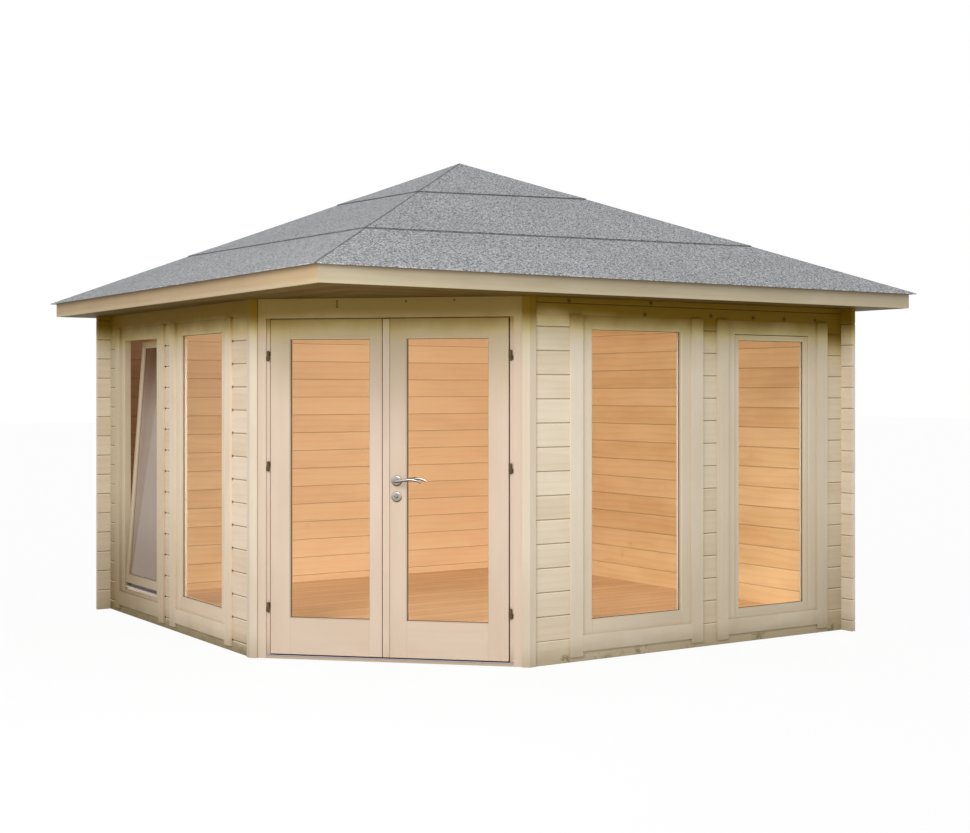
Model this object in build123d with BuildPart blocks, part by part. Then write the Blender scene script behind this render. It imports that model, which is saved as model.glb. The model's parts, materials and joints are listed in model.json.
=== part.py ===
import math
import os

from build123d import *

os.makedirs("parts", exist_ok=True)

# Five-cornered garden cabin: square plan with one corner cut off for a glazed double door
# Millimetres, Z up, origin on the ground under the roof's apex, cut corner towards -X -Y

# Plan and log courses
side = 3220
log_t = 28
log_h = 121
stub = 82
joint_gap = 0.3
groove = 4.5

# Roof
wall_h = 1841
eave = 284
cover_edge_up = 86
apex_z = 2746
cover_lap = 30
felt_t = 4
felt_step = 4
felt_run = 160
seams_near = (0.277, 0.641)
seams_far = (0.349, 0.712)
roof_board_t = 18
fascia_t = 20
fascia_up = 2
soffit_t = 18
rafter_w = 45
rafter_d = 95
king_half = 60
king_drop = 50

# Floor
floor_top_z = 78
floor_board_t = 22
bearer_w = 58
bearer_count = 5
bearer_inset = 282

# Corner posts beside the door
post_proud = 10
post_leg_door = 39
post_leg_wall = 38
post_depth = 38

# Window casings and frames, levels from the ground or down from the wall's top
near_logs = 245
middle_logs = 103
opening_z0 = 121
opening_down = 86
casing_w = 77
casing_t = 12
casing_cover = 40
casing_rise = 2
foot_z = 26
apron_z0 = 50
apron_z1 = 133
frame_back = 40
fixed_light_w = 586
fixed_bar = 66
fixed_light_z0 = 206
fixed_head = 71
sash_light_w = 550
sash_frame_bar = 59
sash_light_z0 = 150
sash_head = 74
sash_t = 34
sash_stile = 31
sash_play = 2
sash_head_play = 4
sash_recess = 6
right_sash_rise = 0.3
right_sash_rails = (32, 29)
left_sash_rise = 46
left_sash_rails = (51, 37)
pane_t = 4
pane_bite = 9
edge_bevel = 5
left_tilt = 4.2
right_tilt = 0
bar_w = 22
bar_t = 5
bar_up = 16
bar_back = 30
web_t = 4
web_back = 21

# Door
leaf_half = 622
leaf_t = 36
leaf_z0 = 26
head_h = 100
leaf_gap = 6
hinge_channel = 26
jamb_face = 45
meeting_u = -24
meeting_gap = 7
door_stile = 104
glass_from_middle = 98
door_rail_low = 186
door_rail_high = 101
stop_gap = 6
stop_t = 16
stop_lap = 20
stop_drop = 25
astragal_w = 34
astragal_t = 9
astragal_end = 2
hinge_off = 12
hinge_w = 4
hinge_ends = (237, 187)
hinge_middle_z = 984
barrel_r = 7
barrel_h = 46
barrel_split = 1
pin_r = 3
pin_clear = 0.3
plate_t = 2.5
sill_z1 = 14
sill_rise = 6
strip_z1 = 20

# Door furniture
spindle_off = 9
spindle_z = 918
key_drop = 81
rose_r = 26
rose_t = 8
spindle_r = 8
spindle_clear = 1
neck_r = 9
key_r = 5
lever_len = 140
lever_out = 44
lever_h = 17
lever_t = 13

# Sizes that follow
half = side / 2
cover_half = half + eave
cover_edge_z = wall_h + cover_edge_up
slope = (apex_z - cover_edge_z) / cover_half
pitch = math.degrees(math.atan(slope))
fascia_z0 = wall_h + fascia_up
fascia_out = cover_half - cover_lap
fascia_in = fascia_out - fascia_t
felt_v = felt_t / math.cos(math.radians(pitch))
board_v = roof_board_t / math.cos(math.radians(pitch))

jamb_in = leaf_half + hinge_channel
hinge_u = leaf_half + hinge_off
turn = math.tan(math.radians(22.5))
post_tip = post_proud * turn
post_door_edge = jamb_in + jamb_face
door_half = post_door_edge + post_leg_door - post_tip
cut = door_half * math.sqrt(2)
cut_dist = (side - cut) / math.sqrt(2)
wall_corner = half - cut
frame_depth = leaf_t + stop_gap + stop_t
head_z0 = wall_h - head_h
leaf_z1 = head_z0 - leaf_gap
door_glass_w = leaf_half - door_stile - glass_from_middle
door_glass_z0 = leaf_z0 + door_rail_low
door_glass_z1 = leaf_z1 - door_rail_high
hinge_levels = (leaf_z0 + hinge_ends[0], hinge_middle_z, leaf_z1 - hinge_ends[1])
spindle_u = (meeting_u + glass_from_middle) / 2 + spindle_off
lock_z = (spindle_z, spindle_z - key_drop)

opening_z1 = wall_h - opening_down
casing_top_z = opening_z1 + casing_rise
fixed_unit = fixed_light_w + 2 * (fixed_bar + casing_w)
sash_unit = sash_light_w + 2 * (sash_frame_bar + casing_w)
fixed_at = -wall_corner + near_logs
sash_at = fixed_at + fixed_unit + middle_logs
fixed_light_z1 = opening_z1 - fixed_head
sash_light_z1 = opening_z1 - sash_head
sash_outer_w = sash_light_w - 2 * sash_play
pane_w = sash_outer_w - 2 * sash_stile


def board_top(r):
    return cover_edge_z - felt_v - joint_gap + (cover_half - r) * slope


def board_under(r):
    return board_top(r) - board_v


# Wall frames: local x runs along the wall, local y up, local z outwards
SOUTH = Plane(origin=(0, -half, 0), x_dir=(1, 0, 0), z_dir=(0, -1, 0))
WEST = Plane(origin=(-half, 0, 0), x_dir=(0, -1, 0), z_dir=(-1, 0, 0))
NORTH = Plane(origin=(0, half, 0), x_dir=(-1, 0, 0), z_dir=(0, 1, 0))
EAST = Plane(origin=(half, 0, 0), x_dir=(0, 1, 0), z_dir=(1, 0, 0))
DOOR = Plane(
    origin=(-cut_dist / math.sqrt(2), -cut_dist / math.sqrt(2), 0),
    x_dir=(1, -1, 0),
    z_dir=(-1, -1, 0),
)


def span(plane, u0, u1, z0, z1, w0, w1):
    # Box given by its limits along the wall, up and outwards
    with BuildSketch(plane.offset(w0)) as outline:
        with Locations(((u0 + u1) / 2, (z0 + z1) / 2)):
            Rectangle(u1 - u0, z1 - z0)
    extrude(outline.sketch, amount=w1 - w0)


def span_cut(plane, u0, u1, z0, z1, w0, w1):
    with BuildSketch(plane.offset(w0)) as outline:
        with Locations(((u0 + u1) / 2, (z0 + z1) / 2)):
            Rectangle(u1 - u0, z1 - z0)
    extrude(outline.sketch, amount=w1 - w0, mode=Mode.SUBTRACT)


def course_joints(offset, z0, z1):
    # Heights of the log joints strictly between two levels
    first = math.floor((z0 - offset) / log_h) + 1
    levels = []
    k = first
    while offset + k * log_h < z1 - groove - 1:
        if offset + k * log_h > z0 + groove + 1:
            levels.append(offset + k * log_h)
        k += 1
    return levels


def log_run(plane, u0, u1, z0, z1, offset, depth=log_t, out=0.0):
    # Logs with V joints on both faces, standing between two positions along a wall
    end = plane.from_local_coords((u1, 0, 0))
    back = plane.x_dir * -1
    section = Plane(origin=end, x_dir=plane.z_dir, z_dir=back)
    front = [(out, z0)]
    rear = [(out - depth, z0)]
    for level in course_joints(offset, z0, z1):
        front += [(out, level - groove), (out - groove, level), (out, level + groove)]
        rear += [
            (out - depth, level - groove),
            (out - depth + groove, level),
            (out - depth, level + groove),
        ]
    front.append((out, z1))
    rear.append((out - depth, z1))
    with BuildSketch(section) as outline:
        with BuildLine():
            Polyline(*front, *reversed(rear), close=True)
        make_face()
    extrude(outline.sketch, amount=u1 - u0)


def notch(plane, u0, u1, z0, z1, offset):
    # Clears the crossing at the log joints, where the other wall's logs pass through
    k = -1
    while offset + k * log_h - log_h / 4 - joint_gap < z1:
        low = max(offset + k * log_h - log_h / 4 - joint_gap, z0 - 1)
        high = min(offset + k * log_h + log_h / 4 + joint_gap, z1 + 1)
        if high > z0 and low < z1:
            span_cut(plane, u0, u1, low, high, -log_t - 1, 1)
        k += 1


# Every wall's logs cross its neighbour's at the three square corners
cross_in = half - log_t - joint_gap
cross_out = half + joint_gap
end_out = half + stub
x_courses = 0.0
y_courses = log_h / 2


def cut_corner(plane, side_sign, z0, z1, offset):
    if side_sign > 0:
        notch(plane, cross_in, cross_out, z0, z1, offset)
    else:
        notch(plane, -cross_out, -cross_in, z0, z1, offset)


# Corner posts: the faces stand proud of both planes and meet on the plan's 135 degree corner
post_inner = (post_depth - post_proud) * turn
post_wall_edge = -wall_corner + post_leg_wall - post_tip


def post_outline(swap):
    # Plan points of the south post; the west post is its mirror about the cut's middle line
    tip = (-wall_corner - post_tip, -half - post_proud)
    along_wall = (post_wall_edge, -half - post_proud)
    wall_back = (post_wall_edge, -half - post_proud + post_depth)
    inner = (-wall_corner + post_inner, -half - post_proud + post_depth)
    diag = math.sqrt(0.5)
    door_edge = (tip[0] - post_leg_door * diag, tip[1] + post_leg_door * diag)
    door_back = (door_edge[0] + post_depth * diag, door_edge[1] + post_depth * diag)
    points = [tip, along_wall, wall_back, inner, door_back, door_edge]
    if swap:
        points = [(y, x) for x, y in points]
    return points


def make_post(swap):
    with BuildPart() as post:
        with BuildSketch(Plane.XY):
            with BuildLine():
                Polyline(*post_outline(swap), close=True)
            make_face()
        extrude(amount=wall_h)
    return post


post_south = make_post(False)
post_south.part.label = "corner_post_right"
export_step(post_south.part, "parts/corner_post_right.step")

post_west = make_post(True)
post_west.part.label = "corner_post_left"
export_step(post_west.part, "parts/corner_post_left.step")

# Glazed walls: a low log, three piers and the logs over the windows
wall_start = post_wall_edge + joint_gap


def openings():
    inset = casing_w - casing_cover
    fixed = (fixed_at + inset, fixed_at + fixed_unit - inset)
    sash = (sash_at + inset, sash_at + sash_unit - inset)
    return fixed, sash


def glazed_wall(plane, sign, own, name):
    # sign turns positions counted from the cut corner into the wall's own direction
    fixed, sash = openings()
    lows = (0, opening_z0 - joint_gap)
    tops = (opening_z1 + joint_gap, wall_h)
    for label, z0, z1 in (("low_logs", *lows), ("top_logs", *tops)):
        with BuildPart() as strip:
            ends = sorted((sign * wall_start, sign * end_out))
            log_run(plane, ends[0], ends[1], z0, z1, own)
            cut_corner(plane, sign, z0, z1, own)
        strip.part.label = name + "_" + label
        export_step(strip.part, "parts/" + name + "_" + label + ".step")
    piers = ((wall_start, fixed[0]), (fixed[1], sash[0]), (sash[1], end_out))
    with BuildPart() as pier_set:
        for start, stop in piers:
            ends = sorted((sign * start, sign * stop))
            log_run(plane, ends[0], ends[1], opening_z0, opening_z1, own)
        cut_corner(plane, sign, opening_z0, opening_z1, own)
    pier_set.part.label = name + "_piers"
    export_step(pier_set.part, "parts/" + name + "_piers.step")


glazed_wall(SOUTH, 1, x_courses, "wall_right")
glazed_wall(WEST, -1, y_courses, "wall_left")

# Plain walls at the back
for plane, own, name in (
    (NORTH, x_courses, "wall_back_left"),
    (EAST, y_courses, "wall_back_right"),
):
    with BuildPart() as wall:
        log_run(plane, -end_out, end_out, 0, wall_h, own)
        cut_corner(plane, 1, 0, wall_h, own)
        cut_corner(plane, -1, 0, wall_h, own)
    wall.part.label = name
    export_step(wall.part, "parts/" + name + ".step")


# Casings: two uprights reaching nearly to the ground, an apron board between them
def casing_set(plane, sign, at, unit):
    bounds = ((at, at + casing_w), (at + unit - casing_w, at + unit))
    for start, stop in bounds:
        ends = sorted((sign * start, sign * stop))
        span(plane, ends[0], ends[1], foot_z, casing_top_z, joint_gap, casing_t)
    ends = sorted((sign * (at + casing_w + joint_gap), sign * (at + unit - casing_w - joint_gap)))
    span(plane, ends[0], ends[1], apron_z0, apron_z1, joint_gap, casing_t)


for plane, sign, name in ((SOUTH, 1, "casings_right"), (WEST, -1, "casings_left")):
    with BuildPart() as casings:
        casing_set(plane, sign, fixed_at, fixed_unit)
        casing_set(plane, sign, sash_at, sash_unit)
    casings.part.label = name
    export_step(casings.part, "parts/" + name + ".step")


# Ring of four bars round a pane, made in one piece, with a groove that holds the glass
def ring(plane, mid, outer_w, z0, z1, light_w, light_z0, light_z1, w0, w1):
    span(plane, mid - outer_w / 2, mid + outer_w / 2, z0, z1, w0, w1)
    span_cut(plane, mid - light_w / 2, mid + light_w / 2, light_z0, light_z1, w0 - 1, w1 + 1)
    # Bevel round the outer edge of the light
    with BuildSketch(plane.offset(w1 - edge_bevel)) as inner:
        with Locations((mid, (light_z0 + light_z1) / 2)):
            Rectangle(light_w, light_z1 - light_z0)
    with BuildSketch(plane.offset(w1)) as outer:
        with Locations((mid, (light_z0 + light_z1) / 2)):
            Rectangle(light_w + 2 * edge_bevel, light_z1 - light_z0 + 2 * edge_bevel)
    loft([inner.sketch, outer.sketch], mode=Mode.SUBTRACT)


def pane_groove(plane, mid, light_w, light_z0, light_z1, w_mid):
    reach = light_w / 2 + pane_bite
    half_t = pane_t / 2 + joint_gap
    span_cut(
        plane, mid - reach, mid + reach, light_z0 - pane_bite, light_z1 + pane_bite,
        w_mid - half_t, w_mid + half_t,
    )


def pane(plane, mid, light_w, light_z0, light_z1, w_mid):
    reach = light_w / 2 + pane_bite - joint_gap
    span(
        plane, mid - reach, mid + reach, light_z0 - pane_bite + joint_gap,
        light_z1 + pane_bite - joint_gap, w_mid - pane_t / 2, w_mid + pane_t / 2,
    )


fixed_pane_w = -20

for plane, sign, name in ((SOUTH, 1, "right_near"), (WEST, -1, "left_near")):
    mid = sign * (fixed_at + fixed_unit / 2)
    outer_w = fixed_unit - 2 * (casing_w - casing_cover) - 2 * joint_gap
    with BuildPart() as frame:
        ring(
            plane, mid, outer_w, opening_z0 + joint_gap, opening_z1 - joint_gap,
            fixed_light_w, fixed_light_z0, fixed_light_z1, -frame_back, 0,
        )
        pane_groove(plane, mid, fixed_light_w, fixed_light_z0, fixed_light_z1, fixed_pane_w)
    frame.part.label = "window_frame_" + name
    export_step(frame.part, "parts/window_frame_" + name + ".step")
    with BuildPart() as glass:
        pane(plane, mid, fixed_light_w, fixed_light_z0, fixed_light_z1, fixed_pane_w)
    glass.part.label = "window_glass_" + name
    export_step(glass.part, "parts/window_glass_" + name + ".step")

# Tilting windows: a sash inside a fixed ring, closed on the right and leaning inwards on the left
for plane, sign, tilt, rise, rails, name in (
    (SOUTH, 1, right_tilt, right_sash_rise, right_sash_rails, "right_far"),
    (WEST, -1, left_tilt, left_sash_rise, left_sash_rails, "left_far"),
):
    sash_z0 = sash_light_z0 + rise
    sash_h = sash_light_z1 - sash_head_play - sash_z0
    pane_y0 = rails[0]
    pane_y1 = sash_h - rails[1]
    mid = sign * (sash_at + sash_unit / 2)
    outer_w = sash_unit - 2 * (casing_w - casing_cover) - 2 * joint_gap
    with BuildPart() as frame:
        ring(
            plane, mid, outer_w, opening_z0 + joint_gap, opening_z1 - joint_gap,
            sash_light_w, sash_light_z0, sash_light_z1, -frame_back, 0,
        )
    frame.part.label = "window_frame_" + name
    export_step(frame.part, "parts/window_frame_" + name + ".step")
    lean = math.radians(tilt)
    leaning = Plane(
        origin=plane.from_local_coords((0, sash_z0, -sash_recess)),
        x_dir=plane.x_dir,
        z_dir=plane.z_dir * math.cos(lean) + Vector(0, 0, 1) * math.sin(lean),
    )
    with BuildPart() as sash:
        ring(
            leaning, mid, sash_outer_w, 0, sash_h,
            pane_w, pane_y0, pane_y1, -sash_t, 0,
        )
        pane_groove(leaning, mid, pane_w, pane_y0, pane_y1, -sash_t / 2)
    sash.part.label = "window_sash_" + name
    export_step(sash.part, "parts/window_sash_" + name + ".step")
    with BuildPart() as glass:
        pane(leaning, mid, pane_w, pane_y0, pane_y1, -sash_t / 2)
    glass.part.label = "window_glass_" + name
    export_step(glass.part, "parts/window_glass_" + name + ".step")

# Weather bar under the leaning sash: a flat strip on a web, with an upstand that the sash rests on
bar_z = sash_light_z0 + bar_up
upstand_fall = (bar_back - sash_recess) * math.sin(math.radians(left_tilt))
upstand_z1 = sash_light_z0 + left_sash_rise - upstand_fall - joint_gap
with BuildPart() as weather_bar:
    mid = -(sash_at + sash_unit / 2)
    reach = sash_light_w / 2 - 1
    span(WEST, mid - reach, mid + reach, bar_z, bar_z + bar_t, -bar_back, bar_w - bar_back)
    span(
        WEST, mid - reach, mid + reach, sash_light_z0 + joint_gap, bar_z,
        -web_back, web_t - web_back,
    )
    span(WEST, mid - reach, mid + reach, bar_z + bar_t, upstand_z1, -bar_back, web_t - bar_back)
weather_bar.part.label = "window_weather_bar"
export_step(weather_bar.part, "parts/window_weather_bar.step")

# Floor: boards over bearers that lie on the ground
floor_edge = half - log_t - joint_gap
floor_diag = cut_dist - frame_depth - joint_gap


def plan_pentagon(r, d):
    # Square of half width r with the corner towards -X -Y cut at distance d from the middle
    reach = d * math.sqrt(2) - r
    return [(-reach, -r), (r, -r), (r, r), (-r, r), (-r, -reach)]


with BuildPart() as floor_boards:
    with BuildSketch(Plane.XY.offset(floor_top_z - floor_board_t)):
        with BuildLine():
            Polyline(*plan_pentagon(floor_edge, floor_diag), close=True)
        make_face()
    extrude(amount=floor_board_t)
floor_boards.part.label = "floor_boards"
export_step(floor_boards.part, "parts/floor_boards.step")

bearer_h = floor_top_z - floor_board_t - joint_gap
bearer_step = 2 * (floor_edge - bearer_inset) / (bearer_count - 1)
with BuildPart() as bearers:
    for index in range(bearer_count):
        y = bearer_inset - floor_edge + index * bearer_step
        x0 = max(-floor_edge, -floor_diag * math.sqrt(2) - y + bearer_w)
        with BuildSketch(Plane.XY):
            with Locations(((x0 + floor_edge) / 2, y)):
                Rectangle(floor_edge - x0, bearer_w)
        extrude(amount=bearer_h)
bearers.part.label = "floor_bearers"
export_step(bearers.part, "parts/floor_bearers.step")

# Soffit: level boards between the walls and the fascia, mitred at the corners
soffit_z = wall_h + joint_gap
soffit_out = fascia_in - joint_gap
soffit_in = half - log_t
soffit_diag = cut_dist - log_t
mitre = joint_gap / math.sqrt(2)


def soffit_piece(points):
    with BuildSketch(Plane.XY.offset(soffit_z)) as outline:
        with BuildLine():
            Polyline(*points, close=True)
        make_face()
    extrude(outline.sketch, amount=soffit_t)


so = soffit_out
si = soffit_in
sr = soffit_diag * math.sqrt(2) - soffit_in
sm = soffit_diag / math.sqrt(2)
sg = joint_gap
with BuildPart() as soffit:
    soffit_piece([(-so + sg, -so), (so - sg, -so), (si - sg, -si), (-sr, -si), (-sm + sg, -sm)])
    soffit_piece([(-so, -so + sg), (-so, so - sg), (-si, si - sg), (-si, -sr), (-sm, -sm + sg)])
    soffit_piece([(so, -so + sg), (so, so - sg), (si, si - sg), (si, -si + sg)])
    soffit_piece([(-so + sg, so), (so - sg, so), (si - sg, si), (-si + sg, si)])
soffit.part.label = "soffit"
export_step(soffit.part, "parts/soffit.step")

# Roof boards: four panels that meet on the hips
def turned(angle):
    # Frame whose local x points from the apex to one eave
    return Plane(
        origin=(0, 0, 0),
        x_dir=(math.cos(math.radians(angle)), math.sin(math.radians(angle)), 0),
        z_dir=(0, 0, 1),
    )


def eave_run(angle, profile, r_out):
    # Section drawn outwards and up, run along the eave
    face = turned(angle)
    across = face.y_dir
    section = Plane(
        origin=across * (-r_out - 10),
        x_dir=face.x_dir,
        z_dir=across * -1,
    )
    with BuildSketch(section) as outline:
        with BuildLine():
            Polyline(*profile, close=True)
        make_face()
    extrude(outline.sketch, amount=-(2 * r_out + 20))


def between_hips(angle, r_out, gap):
    with BuildSketch(turned(angle)) as wedge:
        with BuildLine():
            Polyline(
                (gap, 0), (r_out + 5 + gap, r_out + 5), (r_out + 5 + gap, -r_out - 5), close=True
            )
        make_face()
    extrude(wedge.sketch, amount=apex_z + 500, mode=Mode.INTERSECT)


def panel_set(profile, r_out, gap, label):
    pieces = []
    for angle in (0, 90, 180, 270):
        with BuildPart() as panel:
            eave_run(angle, profile, r_out)
            between_hips(angle, r_out, gap)
        pieces.append(panel.part)
    with BuildPart() as whole:
        for piece in pieces:
            add(piece)
    whole.part.label = label
    export_step(whole.part, "parts/" + label + ".step")
    return whole


board_out = fascia_in - joint_gap
board_profile = [
    (-20, board_under(-20)),
    (board_out, board_under(board_out)),
    (board_out, board_top(board_out)),
    (-20, board_top(-20)),
]
roof_boards = panel_set(board_profile, board_out, joint_gap, "roof_boards")


# Plates standing on the soffit boards over the walls, their tops cut to the roof's slope
plate_z = soffit_z + soffit_t + joint_gap
plate_profile = [
    (half - log_t, plate_z),
    (half, plate_z),
    (half, board_under(half) - joint_gap),
    (half - log_t, board_under(half - log_t) - joint_gap),
]
hip_drop = rafter_w / 2 * math.sqrt(0.5) * slope + joint_gap


def hip_top(distance):
    return board_under(distance / math.sqrt(2)) - hip_drop


plate_parts = []
for angle in (0, 90, 180, 270):
    with BuildPart() as plate:
        eave_run(angle, plate_profile, half)
        between_hips(angle, half, joint_gap / 2)
        if angle >= 180:
            # The cut corner's own plate takes this end
            span_cut(DOOR, -half, half, 0, apex_z, -log_t - joint_gap, side)
    plate_parts.append(plate.part)

seat = rafter_w / 2 + joint_gap
ridge_u = board_under((cut_dist + seat) / math.sqrt(2)) - joint_gap
end_top = board_under(half) - joint_gap
notch_z = hip_top(cut_dist) - rafter_d - joint_gap
with BuildPart() as plates:
    for piece in plate_parts:
        add(piece)
    with BuildSketch(DOOR.offset(-log_t)):
        with BuildLine():
            Polyline(
                (-door_half, plate_z), (door_half, plate_z), (door_half, end_top),
                (seat, ridge_u), (seat, notch_z), (-seat, notch_z), (-seat, ridge_u),
                (-door_half, end_top),
                close=True,
            )
        make_face()
    extrude(amount=log_t)
plates.part.label = "wall_plates"
export_step(plates.part, "parts/wall_plates.step")


# Felt: three lapped courses on each side, every course thicker at its lower edge
def cover_under(r):
    return cover_edge_z - felt_v + (cover_half - r) * slope


def cover_top(r):
    return cover_edge_z + (cover_half - r) * slope


felt_profile = [
    (-20, cover_under(-20)),
    (cover_half, cover_under(cover_half)),
    (cover_half, cover_top(cover_half)),
    (-20, cover_top(-20)),
]


def lap(angle, plus_q, minus_q):
    # The upper course's edge, thick at the seam and feathering out up the slope
    face = turned(angle)
    upright = Vector(0, 0, 1)
    normal = (face.x_dir * slope + upright).normalized()
    ends = []
    for q, hip in ((plus_q, 1), (minus_q, -1)):
        r = cover_half * (1 - q)
        ends.append(face.x_dir * r + face.y_dir * (hip * r) + upright * cover_top(r))
    line = (ends[0] - ends[1]).normalized()
    uphill = normal.cross(line)
    section = Plane(origin=ends[1] - line * 60, x_dir=uphill, z_dir=line * -1)
    if section.y_dir.dot(normal) < 0:
        section = Plane(origin=ends[1] - line * 60, x_dir=uphill, z_dir=line)
    reach = (ends[0] - ends[1]).length + 120
    with BuildSketch(section) as outline:
        with BuildLine():
            Polyline(
                (0, -felt_t / 2), (0, felt_step), (felt_run, 0), (felt_run, -felt_t / 2),
                close=True,
            )
        make_face()
    extrude(outline.sketch, amount=reach if section.z_dir.dot(line) > 0 else -reach)


felt_parts = []
for angle, plus_seams, minus_seams in (
    (0, seams_far, seams_far),
    (90, seams_far, seams_far),
    (180, seams_near, seams_far),
    (270, seams_far, seams_near),
):
    with BuildPart() as felt_side:
        eave_run(angle, felt_profile, cover_half)
        for plus_q, minus_q in zip(plus_seams, minus_seams):
            lap(angle, plus_q, minus_q)
        between_hips(angle, cover_half, joint_gap / 2)
    felt_parts.append(felt_side.part)
with BuildPart() as roof_felt:
    for piece in felt_parts:
        add(piece)
roof_felt.part.label = "roof_felt"
export_step(roof_felt.part, "parts/roof_felt.step")

# Fascia boards, mitred at the corners, tops cut to the slope under the felt
fascia_profile = [
    (fascia_in, fascia_z0),
    (fascia_out, fascia_z0),
    (fascia_out, cover_under(fascia_out) - joint_gap),
    (fascia_in, cover_under(fascia_in) - joint_gap),
]
fascia = panel_set(fascia_profile, fascia_out, joint_gap / 2, "fascia")

# Rafters: four on the hips and four between them, round a block under the apex
hip_far = (half - log_t - joint_gap) * math.sqrt(2) - rafter_w / 2
hip_near = (fascia_in - joint_gap) * math.sqrt(2) - rafter_w / 2
king_top = board_under(king_half * math.sqrt(2)) - joint_gap
mid_far = half - log_t - joint_gap


def rafter(angle, start, stop, top_start, top_stop, depth_v):
    face = turned(angle)
    section = Plane(origin=face.y_dir * (rafter_w / 2), x_dir=face.x_dir, z_dir=face.y_dir * -1)
    with BuildSketch(section) as outline:
        with BuildLine():
            Polyline(
                (start, top_start), (stop, top_stop),
                (stop, top_stop - depth_v), (start, top_start - depth_v),
                close=True,
            )
        make_face()
    extrude(outline.sketch, amount=rafter_w)


with BuildPart() as rafters:
    for angle in (45, 135, 315):
        start = king_half + joint_gap
        rafter(angle, start, hip_far, hip_top(start), hip_top(hip_far), rafter_d)
    # The hip over the door runs on to the eave, its underside levelled on the soffit
    near_face = turned(225)
    near_side = near_face.y_dir
    level_rise = plate_z + rafter_d + hip_drop - board_under(soffit_out)
    level_from = (soffit_out - level_rise / slope) * math.sqrt(2)
    with BuildSketch(
        Plane(origin=near_side * (rafter_w / 2), x_dir=near_face.x_dir, z_dir=near_side * -1)
    ):
        with BuildLine():
            Polyline(
                (king_half + joint_gap, hip_top(king_half + joint_gap)),
                (hip_near, hip_top(hip_near)),
                (hip_near, plate_z),
                (level_from, plate_z),
                (king_half + joint_gap, hip_top(king_half + joint_gap) - rafter_d),
                close=True,
            )
        make_face()
    extrude(amount=rafter_w)
    for angle in (0, 90, 180, 270):
        start = king_half * math.sqrt(2) + rafter_w / 2
        rafter(
            angle, start, mid_far, board_under(start) - joint_gap,
            board_under(mid_far) - joint_gap, rafter_d,
        )
rafters.part.label = "rafters"
export_step(rafters.part, "parts/rafters.step")

king_z0 = king_top - rafter_d - king_drop
with BuildPart() as king:
    with BuildSketch(Plane.XY.offset(king_z0)):
        Rectangle(2 * king_half, 2 * king_half, rotation=45)
    extrude(amount=king_top - king_z0)
king.part.label = "apex_block"
export_step(king.part, "parts/apex_block.step")

# Door frame: jambs and head, each with a stop behind the leaves
jamb_edge = post_door_edge - joint_gap
stop_w = -leaf_t - stop_gap
with BuildPart() as jambs:
    for sign in (-1, 1):
        with BuildSketch(Plane(origin=DOOR.origin, x_dir=DOOR.x_dir, z_dir=(0, 0, 1))):
            with BuildLine():
                Polyline(
                    (sign * jamb_edge, 0),
                    (sign * jamb_in, 0),
                    (sign * jamb_in, -stop_w),
                    (sign * (leaf_half - stop_lap), -stop_w),
                    (sign * (leaf_half - stop_lap), stop_t - stop_w),
                    (sign * jamb_edge, stop_t - stop_w),
                    close=True,
                )
            make_face()
        extrude(amount=wall_h)
jambs.part.label = "door_jambs"
export_step(jambs.part, "parts/door_jambs.step")

head_in = jamb_in - joint_gap
stop_in = leaf_half - stop_lap - joint_gap
with BuildPart() as head:
    span(DOOR, -head_in, head_in, head_z0, wall_h, stop_w + joint_gap, 0)
    span(
        DOOR, -stop_in, stop_in, head_z0 - stop_drop, wall_h, stop_w - stop_t, stop_w + joint_gap
    )
head.part.label = "door_head"
export_step(head.part, "parts/door_head.step")

with BuildPart() as threshold:
    span(DOOR, -head_in, head_in, 0, sill_z1, stop_w + joint_gap, -2)
    span(DOOR, -stop_in, stop_in, 0, floor_top_z - sill_rise, stop_w - stop_t, stop_w + joint_gap)
threshold.part.label = "door_threshold"
export_step(threshold.part, "parts/door_threshold.step")

with BuildPart() as strip:
    span(DOOR, -head_in, head_in, sill_z1 + joint_gap, strip_z1, -leaf_t, 1)
strip.part.label = "threshold_strip"
export_step(strip.part, "parts/threshold_strip.step")


# Door leaves: stiles and rails round one tall pane each
pane_mid_w = -leaf_t / 2
left_edges = (-leaf_half, meeting_u - meeting_gap)
right_edges = (meeting_u, leaf_half)
left_mid = -leaf_half + door_stile + door_glass_w / 2
right_mid = leaf_half - door_stile - door_glass_w / 2


def leaf_blank(edges, mid):
    span(DOOR, edges[0], edges[1], leaf_z0, leaf_z1, -leaf_t, 0)
    span_cut(
        DOOR, mid - door_glass_w / 2, mid + door_glass_w / 2,
        door_glass_z0, door_glass_z1, -leaf_t - 1, 1,
    )
    with BuildSketch(DOOR.offset(-edge_bevel)) as inner:
        with Locations((mid, (door_glass_z0 + door_glass_z1) / 2)):
            Rectangle(door_glass_w, door_glass_z1 - door_glass_z0)
    with BuildSketch(DOOR) as outer:
        with Locations((mid, (door_glass_z0 + door_glass_z1) / 2)):
            Rectangle(
                door_glass_w + 2 * edge_bevel, door_glass_z1 - door_glass_z0 + 2 * edge_bevel
            )
    loft([inner.sketch, outer.sketch], mode=Mode.SUBTRACT)
    pane_groove(DOOR, mid, door_glass_w, door_glass_z0, door_glass_z1, pane_mid_w)


with BuildPart() as leaf_left:
    leaf_blank(left_edges, left_mid)
leaf_left.part.label = "door_leaf_left"
export_step(leaf_left.part, "parts/door_leaf_left.step")

with BuildPart() as leaf_right:
    leaf_blank(right_edges, right_mid)
    with BuildSketch(DOOR.offset(-leaf_t - 1)):
        with Locations((spindle_u, lock_z[0])):
            Circle(spindle_r + spindle_clear + 1)
        with Locations((spindle_u, lock_z[1])):
            Circle(spindle_r)
    extrude(amount=leaf_t + 2, mode=Mode.SUBTRACT)
leaf_right.part.label = "door_leaf_right"
export_step(leaf_right.part, "parts/door_leaf_right.step")

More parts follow.
